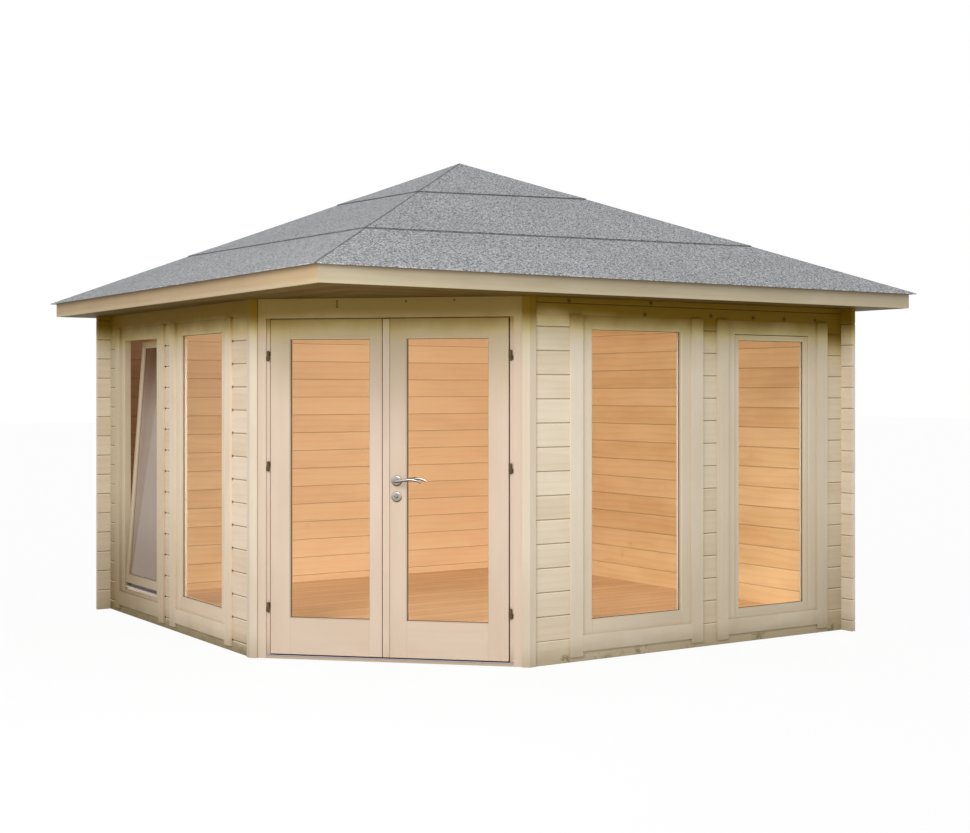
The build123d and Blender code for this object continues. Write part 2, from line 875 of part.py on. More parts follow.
for mid, name in ((left_mid, "left"), (right_mid, "right")):
    with BuildPart() as glass:
        pane(DOOR, mid, door_glass_w, door_glass_z0, door_glass_z1, pane_mid_w)
    glass.part.label = "door_glass_" + name
    export_step(glass.part, "parts/door_glass_" + name + ".step")

with BuildPart() as astragal:
    span(
        DOOR, meeting_u, meeting_u + astragal_w, leaf_z0 + astragal_end, leaf_z1 - astragal_end,
        joint_gap, astragal_t,
    )
astragal.part.label = "door_meeting_strip"
export_step(astragal.part, "parts/door_meeting_strip.step")

# Hinges: the lower half of each barrel and its pin stay on the jamb, the upper half is the leaf's
knuckle = (barrel_h - barrel_split) / 2


def barrel_plane(sign, level):
    spot = DOOR.from_local_coords((sign * hinge_u, level, hinge_w))
    return Plane(origin=spot, x_dir=DOOR.x_dir, z_dir=(0, 0, 1))


with BuildPart() as fixed_hinges:
    for sign in (-1, 1):
        for level in hinge_levels:
            with BuildSketch(barrel_plane(sign, level - barrel_h / 2)):
                Circle(barrel_r)
            extrude(amount=knuckle)
            with BuildSketch(barrel_plane(sign, level - barrel_h / 2)):
                Circle(pin_r)
            extrude(amount=barrel_h - 3)
            ends = sorted((sign * hinge_u, sign * (jamb_in - joint_gap)))
            span(
                DOOR, ends[0], ends[1], level - barrel_h / 2, level - barrel_h / 2 + knuckle,
                hinge_w - barrel_r, hinge_w - barrel_r + plate_t,
            )
fixed_hinges.part.label = "hinge_halves_frame"
export_step(fixed_hinges.part, "parts/hinge_halves_frame.step")

for sign, name in ((-1, "left"), (1, "right")):
    with BuildPart() as halves:
        for level in hinge_levels:
            with BuildSketch(barrel_plane(sign, level + barrel_split / 2)):
                Circle(barrel_r)
            extrude(amount=knuckle)
            ends = sorted((sign * hinge_u, sign * (leaf_half + joint_gap)))
            span(
                DOOR, ends[0], ends[1], level + barrel_split / 2, level + barrel_h / 2,
                hinge_w - barrel_r, hinge_w - barrel_r + plate_t,
            )
            with BuildSketch(barrel_plane(sign, level)):
                Circle(pin_r + pin_clear)
            extrude(amount=barrel_h / 2 - 2, mode=Mode.SUBTRACT)
    halves.part.label = "hinge_halves_" + name
    export_step(halves.part, "parts/hinge_halves_" + name + ".step")

# Roses round the spindle and the keyhole, on both faces of the right leaf
with BuildPart() as roses:
    for w0, w1 in ((joint_gap, rose_t), (-leaf_t - rose_t, -leaf_t - joint_gap)):
        with BuildSketch(DOOR.offset(w0)):
            with Locations((spindle_u, lock_z[0])):
                Circle(rose_r)
                Circle(neck_r + spindle_clear, mode=Mode.SUBTRACT)
            with Locations((spindle_u, lock_z[1])):
                Circle(rose_r)
                Circle(key_r, mode=Mode.SUBTRACT)
            with Locations((spindle_u, lock_z[1] - 8)):
                Rectangle(5, 14, mode=Mode.SUBTRACT)
        extrude(amount=w1 - w0)
roses.part.label = "lock_roses"
export_step(roses.part, "parts/lock_roses.step")


# Lever: arched grips on both sides of the door, on one spindle
def grip(w0):
    top = spindle_z + lever_h / 2
    base = spindle_z - lever_h / 2
    tip = spindle_u + lever_len
    with BuildSketch(DOOR.offset(w0)) as outline:
        with BuildLine():
            rise = Spline(
                (spindle_u, top), (spindle_u + 45, top + 5), (spindle_u + 95, top),
                (tip, spindle_z - 5),
            )
            nose = Line((tip, spindle_z - 5), (tip - 3, spindle_z - 18))
            fall = Spline(
                (tip - 3, spindle_z - 18), (spindle_u + 90, base - 1), (spindle_u + 45, base + 4),
                (spindle_u, base),
            )
            ThreePointArc((spindle_u, base), (spindle_u - lever_h / 2, spindle_z), (spindle_u, top))
        make_face()
    extrude(outline.sketch, amount=lever_t)


with BuildPart() as lever:
    with BuildSketch(DOOR.offset(-leaf_t - rose_t - lever_out + 4)):
        with Locations((spindle_u, spindle_z)):
            Circle(neck_r)
    extrude(amount=leaf_t + 2 * rose_t + 2 * lever_out - 8)
    grip(rose_t + lever_out - lever_t)
    grip(-leaf_t - rose_t - lever_out)
lever.part.label = "door_lever"
export_step(lever.part, "parts/door_lever.step")
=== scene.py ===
# %% [markdown]
# # A garden cabin with a cut corner
# The CAD part gives every log, post, leaf and board its place. This lesson gives them
# their looks: planed spruce, mineral roof felt, clear panes, satin and bronzed metal, and
# the small turned or run pieces that a solid model leaves plain. The frame comes first,
# because every piece is measured from it.

# %% Load the frame
import json
import math

import bpy
import numpy as np
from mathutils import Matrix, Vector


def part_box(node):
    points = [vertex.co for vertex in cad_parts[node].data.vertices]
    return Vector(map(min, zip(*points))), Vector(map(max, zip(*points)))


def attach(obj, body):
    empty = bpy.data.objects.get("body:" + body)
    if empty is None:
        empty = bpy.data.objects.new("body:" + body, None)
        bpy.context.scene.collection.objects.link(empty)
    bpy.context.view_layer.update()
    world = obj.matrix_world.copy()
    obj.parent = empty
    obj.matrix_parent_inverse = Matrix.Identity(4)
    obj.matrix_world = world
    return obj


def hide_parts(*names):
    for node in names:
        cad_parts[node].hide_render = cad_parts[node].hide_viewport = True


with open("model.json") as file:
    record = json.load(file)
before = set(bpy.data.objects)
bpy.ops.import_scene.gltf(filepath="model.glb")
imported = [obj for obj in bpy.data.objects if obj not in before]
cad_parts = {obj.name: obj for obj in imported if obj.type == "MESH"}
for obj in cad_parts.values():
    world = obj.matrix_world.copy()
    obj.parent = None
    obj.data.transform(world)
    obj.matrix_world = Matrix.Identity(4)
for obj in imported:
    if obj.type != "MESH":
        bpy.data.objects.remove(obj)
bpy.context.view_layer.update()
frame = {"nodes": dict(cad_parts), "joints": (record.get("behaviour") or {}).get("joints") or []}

nodes = frame["nodes"]

# %% [markdown]
# ## Wall directions
# The cabin has four straight walls and one cut corner at 45 degrees. Turning a point
# about Z brings any wall to face -Y, so that X runs along the wall, Z up it and -Y out of
# it. The same turn serves numpy here and a Mapping node in the materials, which keeps the
# shapes and the grain in step.

# %% Turns and measures
SOUTH, WEST, NORTH, EAST, CORNER = 0, 90, 180, -90, 45
LOG_HEIGHT = 0.121
HALF_COURSE = LOG_HEIGHT / 2
LOG_EAVES, WINDOW_EAVES, DOOR_EAVES = 1.73, 1.72, 1.735


def turned(points, turn):
    """Points turned about Z by turn degrees: x' = x cos - y sin, y' = x sin + y cos."""
    a = math.radians(turn)
    points = np.asarray(points, float)
    out = points.copy()
    out[..., 0] = points[..., 0] * math.cos(a) - points[..., 1] * math.sin(a)
    out[..., 1] = points[..., 0] * math.sin(a) + points[..., 1] * math.cos(a)
    return out


def node_points(name):
    """All vertices of a CAD node as an array of rows x, y, z."""
    mesh = nodes[name].data
    flat = np.empty(len(mesh.vertices) * 3)
    mesh.vertices.foreach_get("co", flat)
    return flat.reshape(-1, 3)


def extent(name, turn):
    """Lowest and highest corner of a node in the coordinates of the wall that it is on."""
    points = turned(node_points(name), turn)
    return points.min(0), points.max(0)


wall_low, wall_high = extent("wall_right_piers", SOUTH)
wall_face = -wall_low[1]
wall_inside = -wall_high[1]
corner_low, corner_high = extent("door_leaf_right", CORNER)
leaf_face = -corner_low[1]
leaf_back = -corner_high[1]
eave_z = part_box("soffit")[0].z
print("wall face", round(wall_face, 4), "leaf face", round(leaf_face, 4), "eave", round(eave_z, 4))

# %% [markdown]
# ## Small helpers for nodes
# A shader tree is easier to read when each node is made in one line: its kind, what goes
# into its sockets, and its settings. A value sets the socket, and another node's output
# links to it. A group is built once with named sockets, and each material then places it
# with its own values.

# %% Node helpers
def add(tree, kind, inputs=None, **settings):
    """Adds a shader node. inputs maps a socket's name or number to a value or an output."""
    node = tree.nodes.new("ShaderNode" + kind)
    for name, value in settings.items():
        setattr(node, name, value)
    for name, value in (inputs or {}).items():
        if isinstance(value, bpy.types.NodeSocket):
            tree.links.new(value, node.inputs[name])
        else:
            node.inputs[name].default_value = value
    return node


def sums(tree, operation, a, b=0.0, c=0.0, clamp=False):
    """One Math node's result."""
    return add(tree, "Math", {0: a, 1: b, 2: c}, operation=operation, use_clamp=clamp).outputs[0]


def times(tree, a, b):
    """a times b."""
    return sums(tree, "MULTIPLY", a, b)


def times_plus(tree, a, b, c):
    """a times b, plus c."""
    return sums(tree, "MULTIPLY_ADD", a, b, c)


def less(tree, a, b):
    """a less b."""
    return sums(tree, "SUBTRACT", a, b)


def larger(tree, a, b):
    """The larger of a and b."""
    return sums(tree, "MAXIMUM", a, b)


def axes(tree, spot):
    """The x, y and z of a place."""
    return add(tree, "SeparateXYZ", {0: spot}).outputs


def vector(tree, x, y, z=0.0):
    """A place from its x, y and z."""
    return add(tree, "CombineXYZ", {0: x, 1: y, 2: z}).outputs[0]


def moved(tree, spot, by):
    """A place moved by a vector."""
    return add(tree, "VectorMath", {0: spot, 1: by}, operation="ADD").outputs[0]


def stretched(tree, spot, factors):
    """A place with its x, y and z each multiplied by a factor."""
    return add(tree, "VectorMath", {0: spot, 1: factors}, operation="MULTIPLY").outputs[0]


def noise(tree, spot, scale, detail, roughness=0.5):
    """A noise's value, about 0.5 in the middle."""
    inputs = {"Vector": spot, "Scale": scale, "Detail": detail, "Roughness": roughness}
    return add(tree, "TexNoise", inputs).outputs[0]


def bumped(tree, height, strength, distance):
    """A normal bumped by a height."""
    inputs = {"Height": height, "Strength": strength, "Distance": distance}
    return add(tree, "Bump", inputs).outputs[0]


def between(tree, value, low, high, out_low=0.0, out_high=1.0):
    """A value eased from out_low to out_high while it goes from low to high."""
    inputs = {"Value": value, "From Min": low, "From Max": high, "To Min": out_low, "To Max": out_high}
    return add(tree, "MapRange", inputs, interpolation_type="SMOOTHSTEP").outputs[0]


def mixed(tree, share, a, b, blend="MIX"):
    """Two colours mixed by share."""
    settings = {"data_type": "RGBA", "blend_type": blend, "clamp_factor": True}
    return add(tree, "Mix", {0: share, 6: a, 7: b}, **settings).outputs[2]


def picked(tree, share, a, b):
    """One of two vectors, or a blend of them."""
    return add(tree, "Mix", {0: share, 4: a, 5: b}, data_type="VECTOR").outputs[1]


def new_group(name, ins, outs):
    """An empty node group. ins are (name, kind, default) and outs are (name, kind)."""
    tree = bpy.data.node_groups.new(name, "ShaderNodeTree")
    for label, kind, value in ins:
        socket = tree.interface.new_socket(name=label, in_out="INPUT", socket_type="NodeSocket" + kind)
        if value is not None:
            socket.default_value = value
    for label, kind in outs:
        tree.interface.new_socket(name=label, in_out="OUTPUT", socket_type="NodeSocket" + kind)
    given = tree.nodes.new("NodeGroupInput").outputs
    result = tree.nodes.new("NodeGroupOutput").inputs
    return tree, given, result


def place(tree, group, inputs):
    """Puts a group into a material with its own values."""
    return add(tree, "Group", inputs, node_tree=group).outputs


def colour(r, g, b):
    """A colour given as it shows on screen, 0 to 255, made linear for the shader."""
    parts = np.array([r, g, b]) / 255
    linear = np.where(parts <= 0.04045, parts / 12.92, ((parts + 0.055) / 1.055) ** 2.4)
    return (*[float(v) for v in linear], 1.0)


print("helpers ready; cream is", [round(v, 3) for v in colour(220, 206, 184)[:3]])

# %% [markdown]
# ## Spruce, as one group
# A board is cut from a trunk, so its figure is a solid pattern: growth rings round a long
# axis beside the board. Cut lengthwise the rings show as long flowing lines, and on a log's
# sawn end they show as arcs, with no extra work. Three layers make it: slow clouds of
# tone, rings bent by noise, and fine fibres drawn out along the grain. Knots are cells of a
# Voronoi texture seen along the board's thickness, kept only where a cell's own random
# value says so. The group gives a colour and a height, and each material bumps by the height.

# %% Spruce group
spruce, given, result = new_group(
    "spruce_figure",
    [
        ("Run", "Vector", None),
        ("Board", "Float", 0.0),
        ("Pale", "Color", colour(226, 210, 186)),
        ("Deep", "Color", colour(200, 176, 142)),
        ("Knot", "Color", colour(120, 84, 52)),
        ("Knots", "Float", 0.3),
        ("Figure", "Float", 0.3),
    ],
    [("Color", "Color"), ("Height", "Float")],
)
shift_inputs = {0: (0.73, 0.17, 0.29), 3: given["Board"]}
shift = add(spruce, "VectorMath", shift_inputs, operation="SCALE").outputs[0]
here = moved(spruce, given["Run"], shift)
clouds = noise(spruce, stretched(spruce, here, (0.35, 1.0, 1.0)), 6.0, 3.0)
knot_at = stretched(spruce, here, (1.0, 1.0, 0.12))
cell = add(spruce, "TexVoronoi", {"Vector": knot_at, "Scale": 6.5, "Randomness": 0.9})
lot = add(spruce, "SeparateColor", {0: cell.outputs["Color"]}).outputs
kept = sums(spruce, "LESS_THAN", lot[0], given["Knots"])
size = times_plus(spruce, lot[1], 0.035, 0.018)
from_core = sums(spruce, "DIVIDE", cell.outputs["Distance"], size)
core = times(spruce, between(spruce, from_core, 1.0, 0.6), kept)
halo = times(spruce, between(spruce, cell.outputs["Distance"], 0.24, 0.04), kept)
bend = vector(spruce, 0.0, times(spruce, halo, 0.012))
ringed = moved(spruce, stretched(spruce, here, (0.16, 1.0, 1.0)), bend)
rings = add(
    spruce, "TexWave",
    {
        "Vector": ringed, "Scale": 13.0, "Distortion": 5.0,
        "Detail": 2.0, "Detail Scale": 0.9, "Detail Roughness": 0.4,
    },
    wave_type="RINGS", rings_direction="X", wave_profile="SAW",
).outputs["Fac"]
late = between(spruce, rings, 0.35, 1.0)
fibre = noise(spruce, stretched(spruce, here, (5.0, 230.0, 230.0)), 1.0, 2.0)
streaks = times_plus(spruce, late, 0.75, times(spruce, fibre, 0.5))
figured = times(spruce, less(spruce, streaks, 0.55), given["Figure"])
tone = times_plus(spruce, between(spruce, clouds, 0.3, 0.72), 0.5, figured)
board_lot = add(spruce, "TexWhiteNoise", {"W": given["Board"]}, noise_dimensions="1D").outputs[0]
tone = sums(spruce, "ADD", tone, between(spruce, board_lot, 0.0, 1.0, -0.05, 0.35), clamp=True)
wood = mixed(spruce, tone, given["Pale"], given["Deep"])
wood = mixed(spruce, times(spruce, halo, 0.35), wood, given["Deep"])
wood = mixed(spruce, times(spruce, core, 0.6), wood, given["Knot"])
spruce.links.new(wood, result["Color"])
relief = times_plus(spruce, fibre, 0.35, times(spruce, late, 0.4))
spruce.links.new(less(spruce, relief, times(spruce, core, 0.4)), result["Height"])
print("spruce nodes", len(spruce.nodes))

# %% [markdown]
# ## Which way the grain runs
# In a wall the logs lie level, and each course is another log. In a window frame, a casing
# or a leaf, the stiles stand and the rails lie between them. A group looks at where a point
# is and says whether the board there is upright, which board it is, and where two boards
# meet in a fine dark line.

# %% Groups for the lay of the boards
courses, given, result = new_group(
    "log_courses",
    [
        ("Position", "Vector", None),
        ("Height", "Float", LOG_HEIGHT),
        ("Start", "Float", 0.0),
        ("Wall", "Float", 0.0),
    ],
    [("Board", "Float"), ("Gap", "Float")],
)
level = axes(courses, given["Position"])[2]
count = sums(courses, "DIVIDE", less(courses, level, given["Start"]), given["Height"])
number = sums(courses, "FLOOR", count)
courses.links.new(times_plus(courses, given["Wall"], 31.0, number), result["Board"])
beside = less(courses, count, sums(courses, "ROUND", count))
courses.links.new(times(courses, beside, given["Height"]), result["Gap"])

framed, given, result = new_group(
    "stiles_and_rails",
    [
        ("Position", "Vector", None),
        ("Middle", "Float", 0.0),
        ("Half Width", "Float", 0.3),
        ("Low", "Float", 0.2),
        ("High", "Float", 1.6),
    ],
    [("Upright", "Float"), ("Board", "Float"), ("Joint", "Float")],
)
along, _, up = axes(framed, given["Position"])
aside = less(framed, along, given["Middle"])
beyond = less(framed, sums(framed, "ABSOLUTE", aside), given["Half Width"])
stile = sums(framed, "GREATER_THAN", beyond, 0.0)
framed.links.new(stile, result["Upright"])
side = times(framed, sums(framed, "SIGN", aside), 3.0)
middle = times(framed, sums(framed, "ADD", given["Low"], given["High"]), 0.5)
rail = times(framed, sums(framed, "GREATER_THAN", up, middle), 5.0)
which = add(framed, "Mix", {0: stile, 2: rail, 3: side}).outputs[0]
framed.links.new(times_plus(framed, given["Middle"], 9.0, which), result["Board"])
past = larger(framed, less(framed, given["Low"], up), less(framed, up, given["High"]))
seam = between(framed, sums(framed, "ABSOLUTE", beyond), 0.0011, 0.0004)
framed.links.new(times(framed, seam, sums(framed, "GREATER_THAN", past, 0.0)), result["Joint"])
print("groups", [g.name for g in bpy.data.node_groups])

# %% [markdown]
# ## Weather and painted shade
# The photograph's dirt stays. The boards under the eaves are olive and dark: partly a stain, where
# no rain rinses them, and partly painted shade of the overhang. Below that band the paint-free
# wood has a faint green tint, which is painted shade of the overhang with green reflected
# light, and it is clean cream again from breast height down. The lowest logs are stained by
# splashes, with moss on them. Towards the far ends of the walls painted shade stands for the
# falling light, and the foot is darker. One group tints a colour by height, with noise to break
# up its edges.

# %% Weather and painted shade group
# Painted shade is carried here too: the overhang's shade and green reflected light below the eaves,
# part of the olive under them, and the dimming towards a wall's far end.
weather, given, result = new_group(
    "eaves_shade_and_splash",
    [
        ("Color", "Color", (0.7, 0.6, 0.5, 1.0)),
        ("Position", "Vector", None),
        ("Eaves", "Float", LOG_EAVES),
        ("Under Eaves", "Float", 1.0),
        ("Cast", "Float", 0.3),
        ("Cast From", "Float", 1.42),
        ("Fade", "Float", 0.0),
        ("Foot", "Float", 0.15),
        ("Splash", "Float", 0.35),
        ("Moss", "Float", 0.0),
    ],
    [("Color", "Color")],
)
level = axes(weather, given["Position"])[2]
cloud = noise(weather, given["Position"], 5.0, 4.0)
# Painted shade of the overhang, tinted by green reflected light, from Upper Shade From up to the eaves.
broad = times(weather, between(weather, level, given["Cast From"], 1.74), given["Cast"])
shade = mixed(weather, broad, given["Color"], colour(172, 162, 118))
# Painted shade: towards a wall's far end the wood is dimmed, where the light falls off.
shade = mixed(weather, given["Fade"], shade, colour(172, 158, 124))
dull = times(weather, between(weather, level, 0.85, 0.12), given["Foot"])
shade = mixed(weather, dull, shade, colour(110, 84, 46))
# Under the eaves: an olive tone that is partly stain and partly painted shade of the overhang.
edge = times_plus(weather, cloud, 0.06, less(weather, level, given["Eaves"]))
eaves_stain_and_shade = times(weather, between(weather, edge, -0.10, 0.03), given["Under Eaves"])
shade = mixed(weather, eaves_stain_and_shade, shade, (0.95, 0.90, 0.55, 1.0), "MULTIPLY")
high = times(weather, between(weather, edge, -0.045, 0.085), given["Under Eaves"])
shade = mixed(weather, high, shade, colour(116, 88, 8))
foot = times_plus(weather, cloud, 0.10, level)
low = times(weather, between(weather, foot, 0.19, 0.05), given["Splash"])
shade = mixed(weather, low, shade, colour(112, 98, 56))
tuft = noise(weather, given["Position"], 34.0, 4.0, 0.7)
patch = times(weather, between(weather, cloud, 0.50, 0.62), between(weather, tuft, 0.44, 0.56))
patch = times(weather, patch, between(weather, level, 0.055, 0.03))
shade = mixed(weather, times(weather, patch, given["Moss"]), shade, colour(98, 100, 50))
weather.links.new(shade, result["Color"])
print("weather nodes", len(weather.nodes))

# %% [markdown]
# ## The wooden finishes
# Every wooden finish is the same recipe with other values: turn the Object coordinates to
# the wall, ask a lay group which board is here, send the run of the grain to the spruce
# group, add weather and painted shade, and bump by the height. The room side of the logs is
# kept from sun and rain, so it is warmer, and the light of the room is painted in on it as a
# weak glow. Painted shade dims the far ends of the walls, where the light falls off away from
# the door, and their foot is darker than by the door.

# %% Tones and the run of the grain
CREAM = (colour(229, 215, 192), colour(213, 195, 167))
PINKER = (colour(231, 213, 190), colour(215, 193, 165))
FRAME = (colour(228, 215, 195), colour(215, 199, 175))
DOOR = (colour(212, 193, 174), colour(203, 181, 159))
POST = (colour(220, 207, 187), colour(207, 191, 167))
ROOM = (colour(224, 191, 144), colour(206, 167, 116))
# Painted light: lighter room tones for the span of the back wall where more light falls.
PAINTED_LIT_ROOM = (colour(240, 206, 162), colour(224, 188, 144))
FASCIA = (colour(188, 176, 150), colour(168, 154, 126))
ROOF_WOOD = (colour(214, 186, 140), colour(176, 142, 92))
FLOOR = (colour(214, 176, 134), colour(196, 156, 112))
# The soffit's dark olive is partly stain and partly painted shade of the overhang.
SOFFIT_STAIN_AND_SHADE = (colour(104, 84, 32), colour(74, 52, 14))
# Per wall: the sign that points along it away from the door, then the painted far-end shade and the
# darker foot, each as (from, to, least, most).
FAR_END_SHADE_AND_FOOT = {
    SOUTH: (1, (-0.4, 0.5, 0.0, 0.27), (1.2, 1.6, 0.15, 0.40)),
    WEST: (-1, (0.1, 1.75, 0.0, 0.60), (0.1, 1.6, 0.15, 0.71)),
    NORTH: (1, (0.0, 1.0, 0.0, 0.15), (0.0, 1.5, 0.15, 0.30)),
    EAST: (1, (0.0, 1.0, 0.0, 0.15), (0.0, 1.5, 0.15, 0.30)),
    CORNER: (1, (0.0, 1.0, 0.0, 0.0), (0.0, 1.0, 0.05, 0.05)),
}
BLACK = (0.0, 0.0, 0.0, 1.0)
PALE_KNOT, DARK_KNOT = colour(150, 112, 76), colour(50, 30, 8)


def grain_run(tree, spot, upright):
    """The run of the grain: (x, z, y) for a level board and (z, x, y) for an upright one."""
    x, y, z = axes(tree, spot)
    level, tall = vector(tree, x, z, y), vector(tree, z, x, y)
    if isinstance(upright, bool):
        return tall if upright else level
    return picked(tree, upright, level, tall)


def far_end_shade_and_foot(tree, along, turn):
    """How much painted shade dims a wall's far end, and how much darker its foot is, by the place along
    it.
    """
    sign, falloff_span, foot = FAR_END_SHADE_AND_FOOT[turn]
    outwards = times(tree, along, sign)
    return {"Fade": between(tree, outwards, *falloff_span), "Foot": between(tree, outwards, *foot)}


def shaded(tree, tone, roughness, normal, plain=None):
    """Ends a finish: a Principled shader, with plain values set on its own sockets."""
    inputs = {"Base Color": tone, "Roughness": roughness, "Normal": normal, **(plain or {})}
    shader = add(tree, "BsdfPrincipled", inputs)
    tree.links.new(shader.outputs[0], add(tree, "OutputMaterial").inputs[0])


def finished(tree, shade, height, roughness, depth, glow=None):
    """Ends a wood finish, bumped by the height of the figure. A glow is the light of the
    room, painted in on the faces that look into it."""
    plain = {"Specular IOR Level": 0.12}
    if glow is not None:
        plain |= {"Emission Color": glow, "Emission Strength": 0.32}
    shaded(tree, shade, roughness, bumped(tree, height, 0.3, depth), plain)


def blank_finish(name):
    """An empty material and its Object coordinates."""
    finish = bpy.data.materials.new(name)
    finish.use_nodes = True
    finish.node_tree.nodes.clear()
    return finish, finish.node_tree, add(finish.node_tree, "TexCoord").outputs["Object"]


def turned_spot(tree, spot, turn):
    """Object coordinates turned so that the wall faces -Y."""
    return add(tree, "Mapping", {"Vector": spot, "Rotation": (0, 0, math.radians(turn))}).outputs[0]


def wear(finish, *names):
    """Gives CAD nodes a finish through their material slots."""
    for name in names:
        mesh_object = nodes[name]
        if not mesh_object.material_slots:
            mesh_object.data.materials.append(finish)
        for slot in mesh_object.material_slots:
            slot.link = "OBJECT"
            slot.material = finish
    return finish


print("tones ready")

# %% [markdown]
# ## Logs
# A log wall is told by its joints. Each joint is a fine dark line with a painted highlight under
# it, where the lower log's chamfer catches the light. The long top log has knots at the places
# where the photograph shows them, and on the left wall a painted shadow darkens the end of each
# joint beside the casings. Inside, the room's corner by the far left window has painted shade,
# and a span of the back wall has painted light.

# %% Log finish
def spots_mask(tree, along, up, spots, radius):
    """How near a point is to one of some spots (u, z): 1 inside the radius and 0 beyond it."""
    total = 0.0
    for u, z in spots:
        ends = {0: vector(tree, along, up), 1: (u, z, 0)}
        reach = add(tree, "VectorMath", ends, operation="DISTANCE").outputs["Value"]
        total = larger(tree, total, between(tree, reach, radius, radius * 0.45))
    return total


def log_finish(
    name, turn, start, wall, tones=CREAM, spots=(), joint_end_shade=(), lean=0.0, splash=0.35, moss=0.0,
    corner_shade=None, lit_span=None,
):
    """Level logs, one a course, cream outside and warm on the room side."""
    finish, tree, spot = blank_finish(name)
    here = turned_spot(tree, spot, turn)
    along, inwards, up = axes(tree, here)
    lay = place(tree, courses, {"Position": here, "Start": start, "Wall": wall})
    deep_in = sums(tree, "GREATER_THAN", inwards, -(wall_face + wall_inside) / 2)
    between_walls = sums(tree, "LESS_THAN", sums(tree, "ABSOLUTE", along), wall_inside)
    room = times(tree, deep_in, between_walls)
    top_log = between(tree, up, top_log_z - 0.002, top_log_z + 0.002)
    room_tones = ROOM
    # Painted light: the lighter room tones over one span along the wall.
    if lit_span:
        share = between(tree, along, lit_span[0], lit_span[1])
        room_tones = [mixed(tree, share, PAINTED_LIT_ROOM[i], ROOM[i]) for i in (0, 1)]
    figure = place(tree, spruce, {
        "Run": grain_run(tree, here, False), "Board": lay["Board"],
        "Pale": mixed(tree, room, tones[0], room_tones[0]),
        "Deep": mixed(tree, room, tones[1], room_tones[1]),
        "Knots": times_plus(tree, room, 0.16, 0.06),
        "Knot": mixed(tree, room, PALE_KNOT, colour(150, 92, 48)),
        "Figure": times_plus(tree, top_log, 0.5, 0.3),
    })
    outer = place(tree, weather, {
        "Color": figure["Color"], "Position": spot, "Splash": splash, "Moss": moss,
        "Eaves": times_plus(tree, along, -lean, LOG_EAVES), **far_end_shade_and_foot(tree, along, turn),
    })["Color"]
    if spots:
        stain = times(tree, spots_mask(tree, along, up, spots, 0.022), 0.35)
        outer = mixed(tree, stain, outer, DARK_KNOT)
        outer = mixed(tree, spots_mask(tree, along, up, spots, 0.0085), outer, DARK_KNOT)
    gap = lay["Gap"]
    # Painted highlight: a pale line under each joint, where the lower log's chamfer catches the light.
    painted_chamfer_highlight = times(tree, between(tree, gap, -0.0085, -0.005), between(tree, gap, -0.0025, -0.004))
    painted_chamfer_highlight = times(tree, painted_chamfer_highlight, between(tree, up, 1.72, 1.45, 0.0, 0.55))
    outer = mixed(tree, painted_chamfer_highlight, outer, colour(240, 230, 206))
    inner = figure["Color"]
    # Painted shade: the room's corner by the far left window is darkened.
    if corner_shade:
        inner = mixed(tree, between(tree, along, corner_shade[0], corner_shade[1], 0.0, 0.8), inner, colour(70, 44, 34))
    shade = mixed(tree, room, outer, inner)
    off = sums(tree, "ABSOLUTE", lay["Gap"])
    line = times(tree, between(tree, off, 0.0026, 0.0008), times_plus(tree, room, -0.2, 0.75))
    shade = mixed(tree, line, shade, colour(104, 80, 48))
    # Painted shadow: each joint's end beside a casing is darkened, where the casing's edge shades the
    # groove.
    if joint_end_shade:
        ends = 0.0
        for u in joint_end_shade:
            beside_it = sums(tree, "ABSOLUTE", less(tree, along, u))
            ends = larger(tree, ends, between(tree, beside_it, 0.010, 0.004))
        ends = times(tree, ends, between(tree, off, 0.010, 0.004))
        ends = times(tree, ends, less(tree, 1.0, room))
        shade = mixed(tree, times(tree, ends, 0.85), shade, colour(84, 62, 34))
    # Painted light: the room's glow is lifted near the top and the foot of its walls.
    dim_zone = larger(tree, between(tree, up, 1.35, 1.70), between(tree, up, 0.55, 0.15))
    lift = times(tree, room, times_plus(tree, dim_zone, 0.3, 0.7))
    glow = mixed(tree, lift, BLACK, shade)
    finished(tree, shade, figure["Height"], 0.62, 0.0006, glow)
    return finish


# %% Logs
top_log_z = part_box("wall_right_top_logs")[0].z
FAR_CASING_EDGE = -0.639
JOINT_SHADE_OFF = 0.006
casing_edges = [extent("casings_left", WEST)[1][0], FAR_CASING_EDGE]
right_knots = [
    (0.148, 1.770), (0.60, 1.775), (0.9035, 1.772), (1.135, 1.772), (1.374, 1.772),
    (-0.34, 1.826), (0.188, 1.832),
]
wear(
    log_finish("logs_right", SOUTH, 0.0, 1, spots=right_knots, lean=0.06, splash=0.40, moss=0.7),
    "wall_right_low_logs", "wall_right_piers", "wall_right_top_logs",
)
wear(
    log_finish(
        "logs_left", WEST, HALF_COURSE, 2, PINKER,
        joint_end_shade=[u + JOINT_SHADE_OFF for u in casing_edges], splash=0.8, moss=0.5,
    ),
    "wall_left_low_logs", "wall_left_piers", "wall_left_top_logs",
)
# Painted shade in the room's corner by the far left window, and painted light on a span of the wall.
wear(
    log_finish("logs_back_left", NORTH, 0.0, 3, corner_shade=(1.16, 1.42), lit_span=(0.30, 0.75)),
    "wall_back_left",
)
wear(log_finish("logs_back_right", EAST, HALF_COURSE, 4), "wall_back_right")
print("logs", len(right_knots), "knots in the right wall's top log")

# %% [markdown]
# ## Joinery
# Window frames, sashes and leaves are stiles with rails between them. The stile runs past
# the rail, so the grain turns through a right angle at a short level line. Measuring the
# opening of each frame from its own node keeps that line on the real corner.

# %% Frame and board finishes
APRON_TOP = 0.134
SASH_GAP = 0.004
CASING_HALF = {"near": 0.359, "far": 0.334}


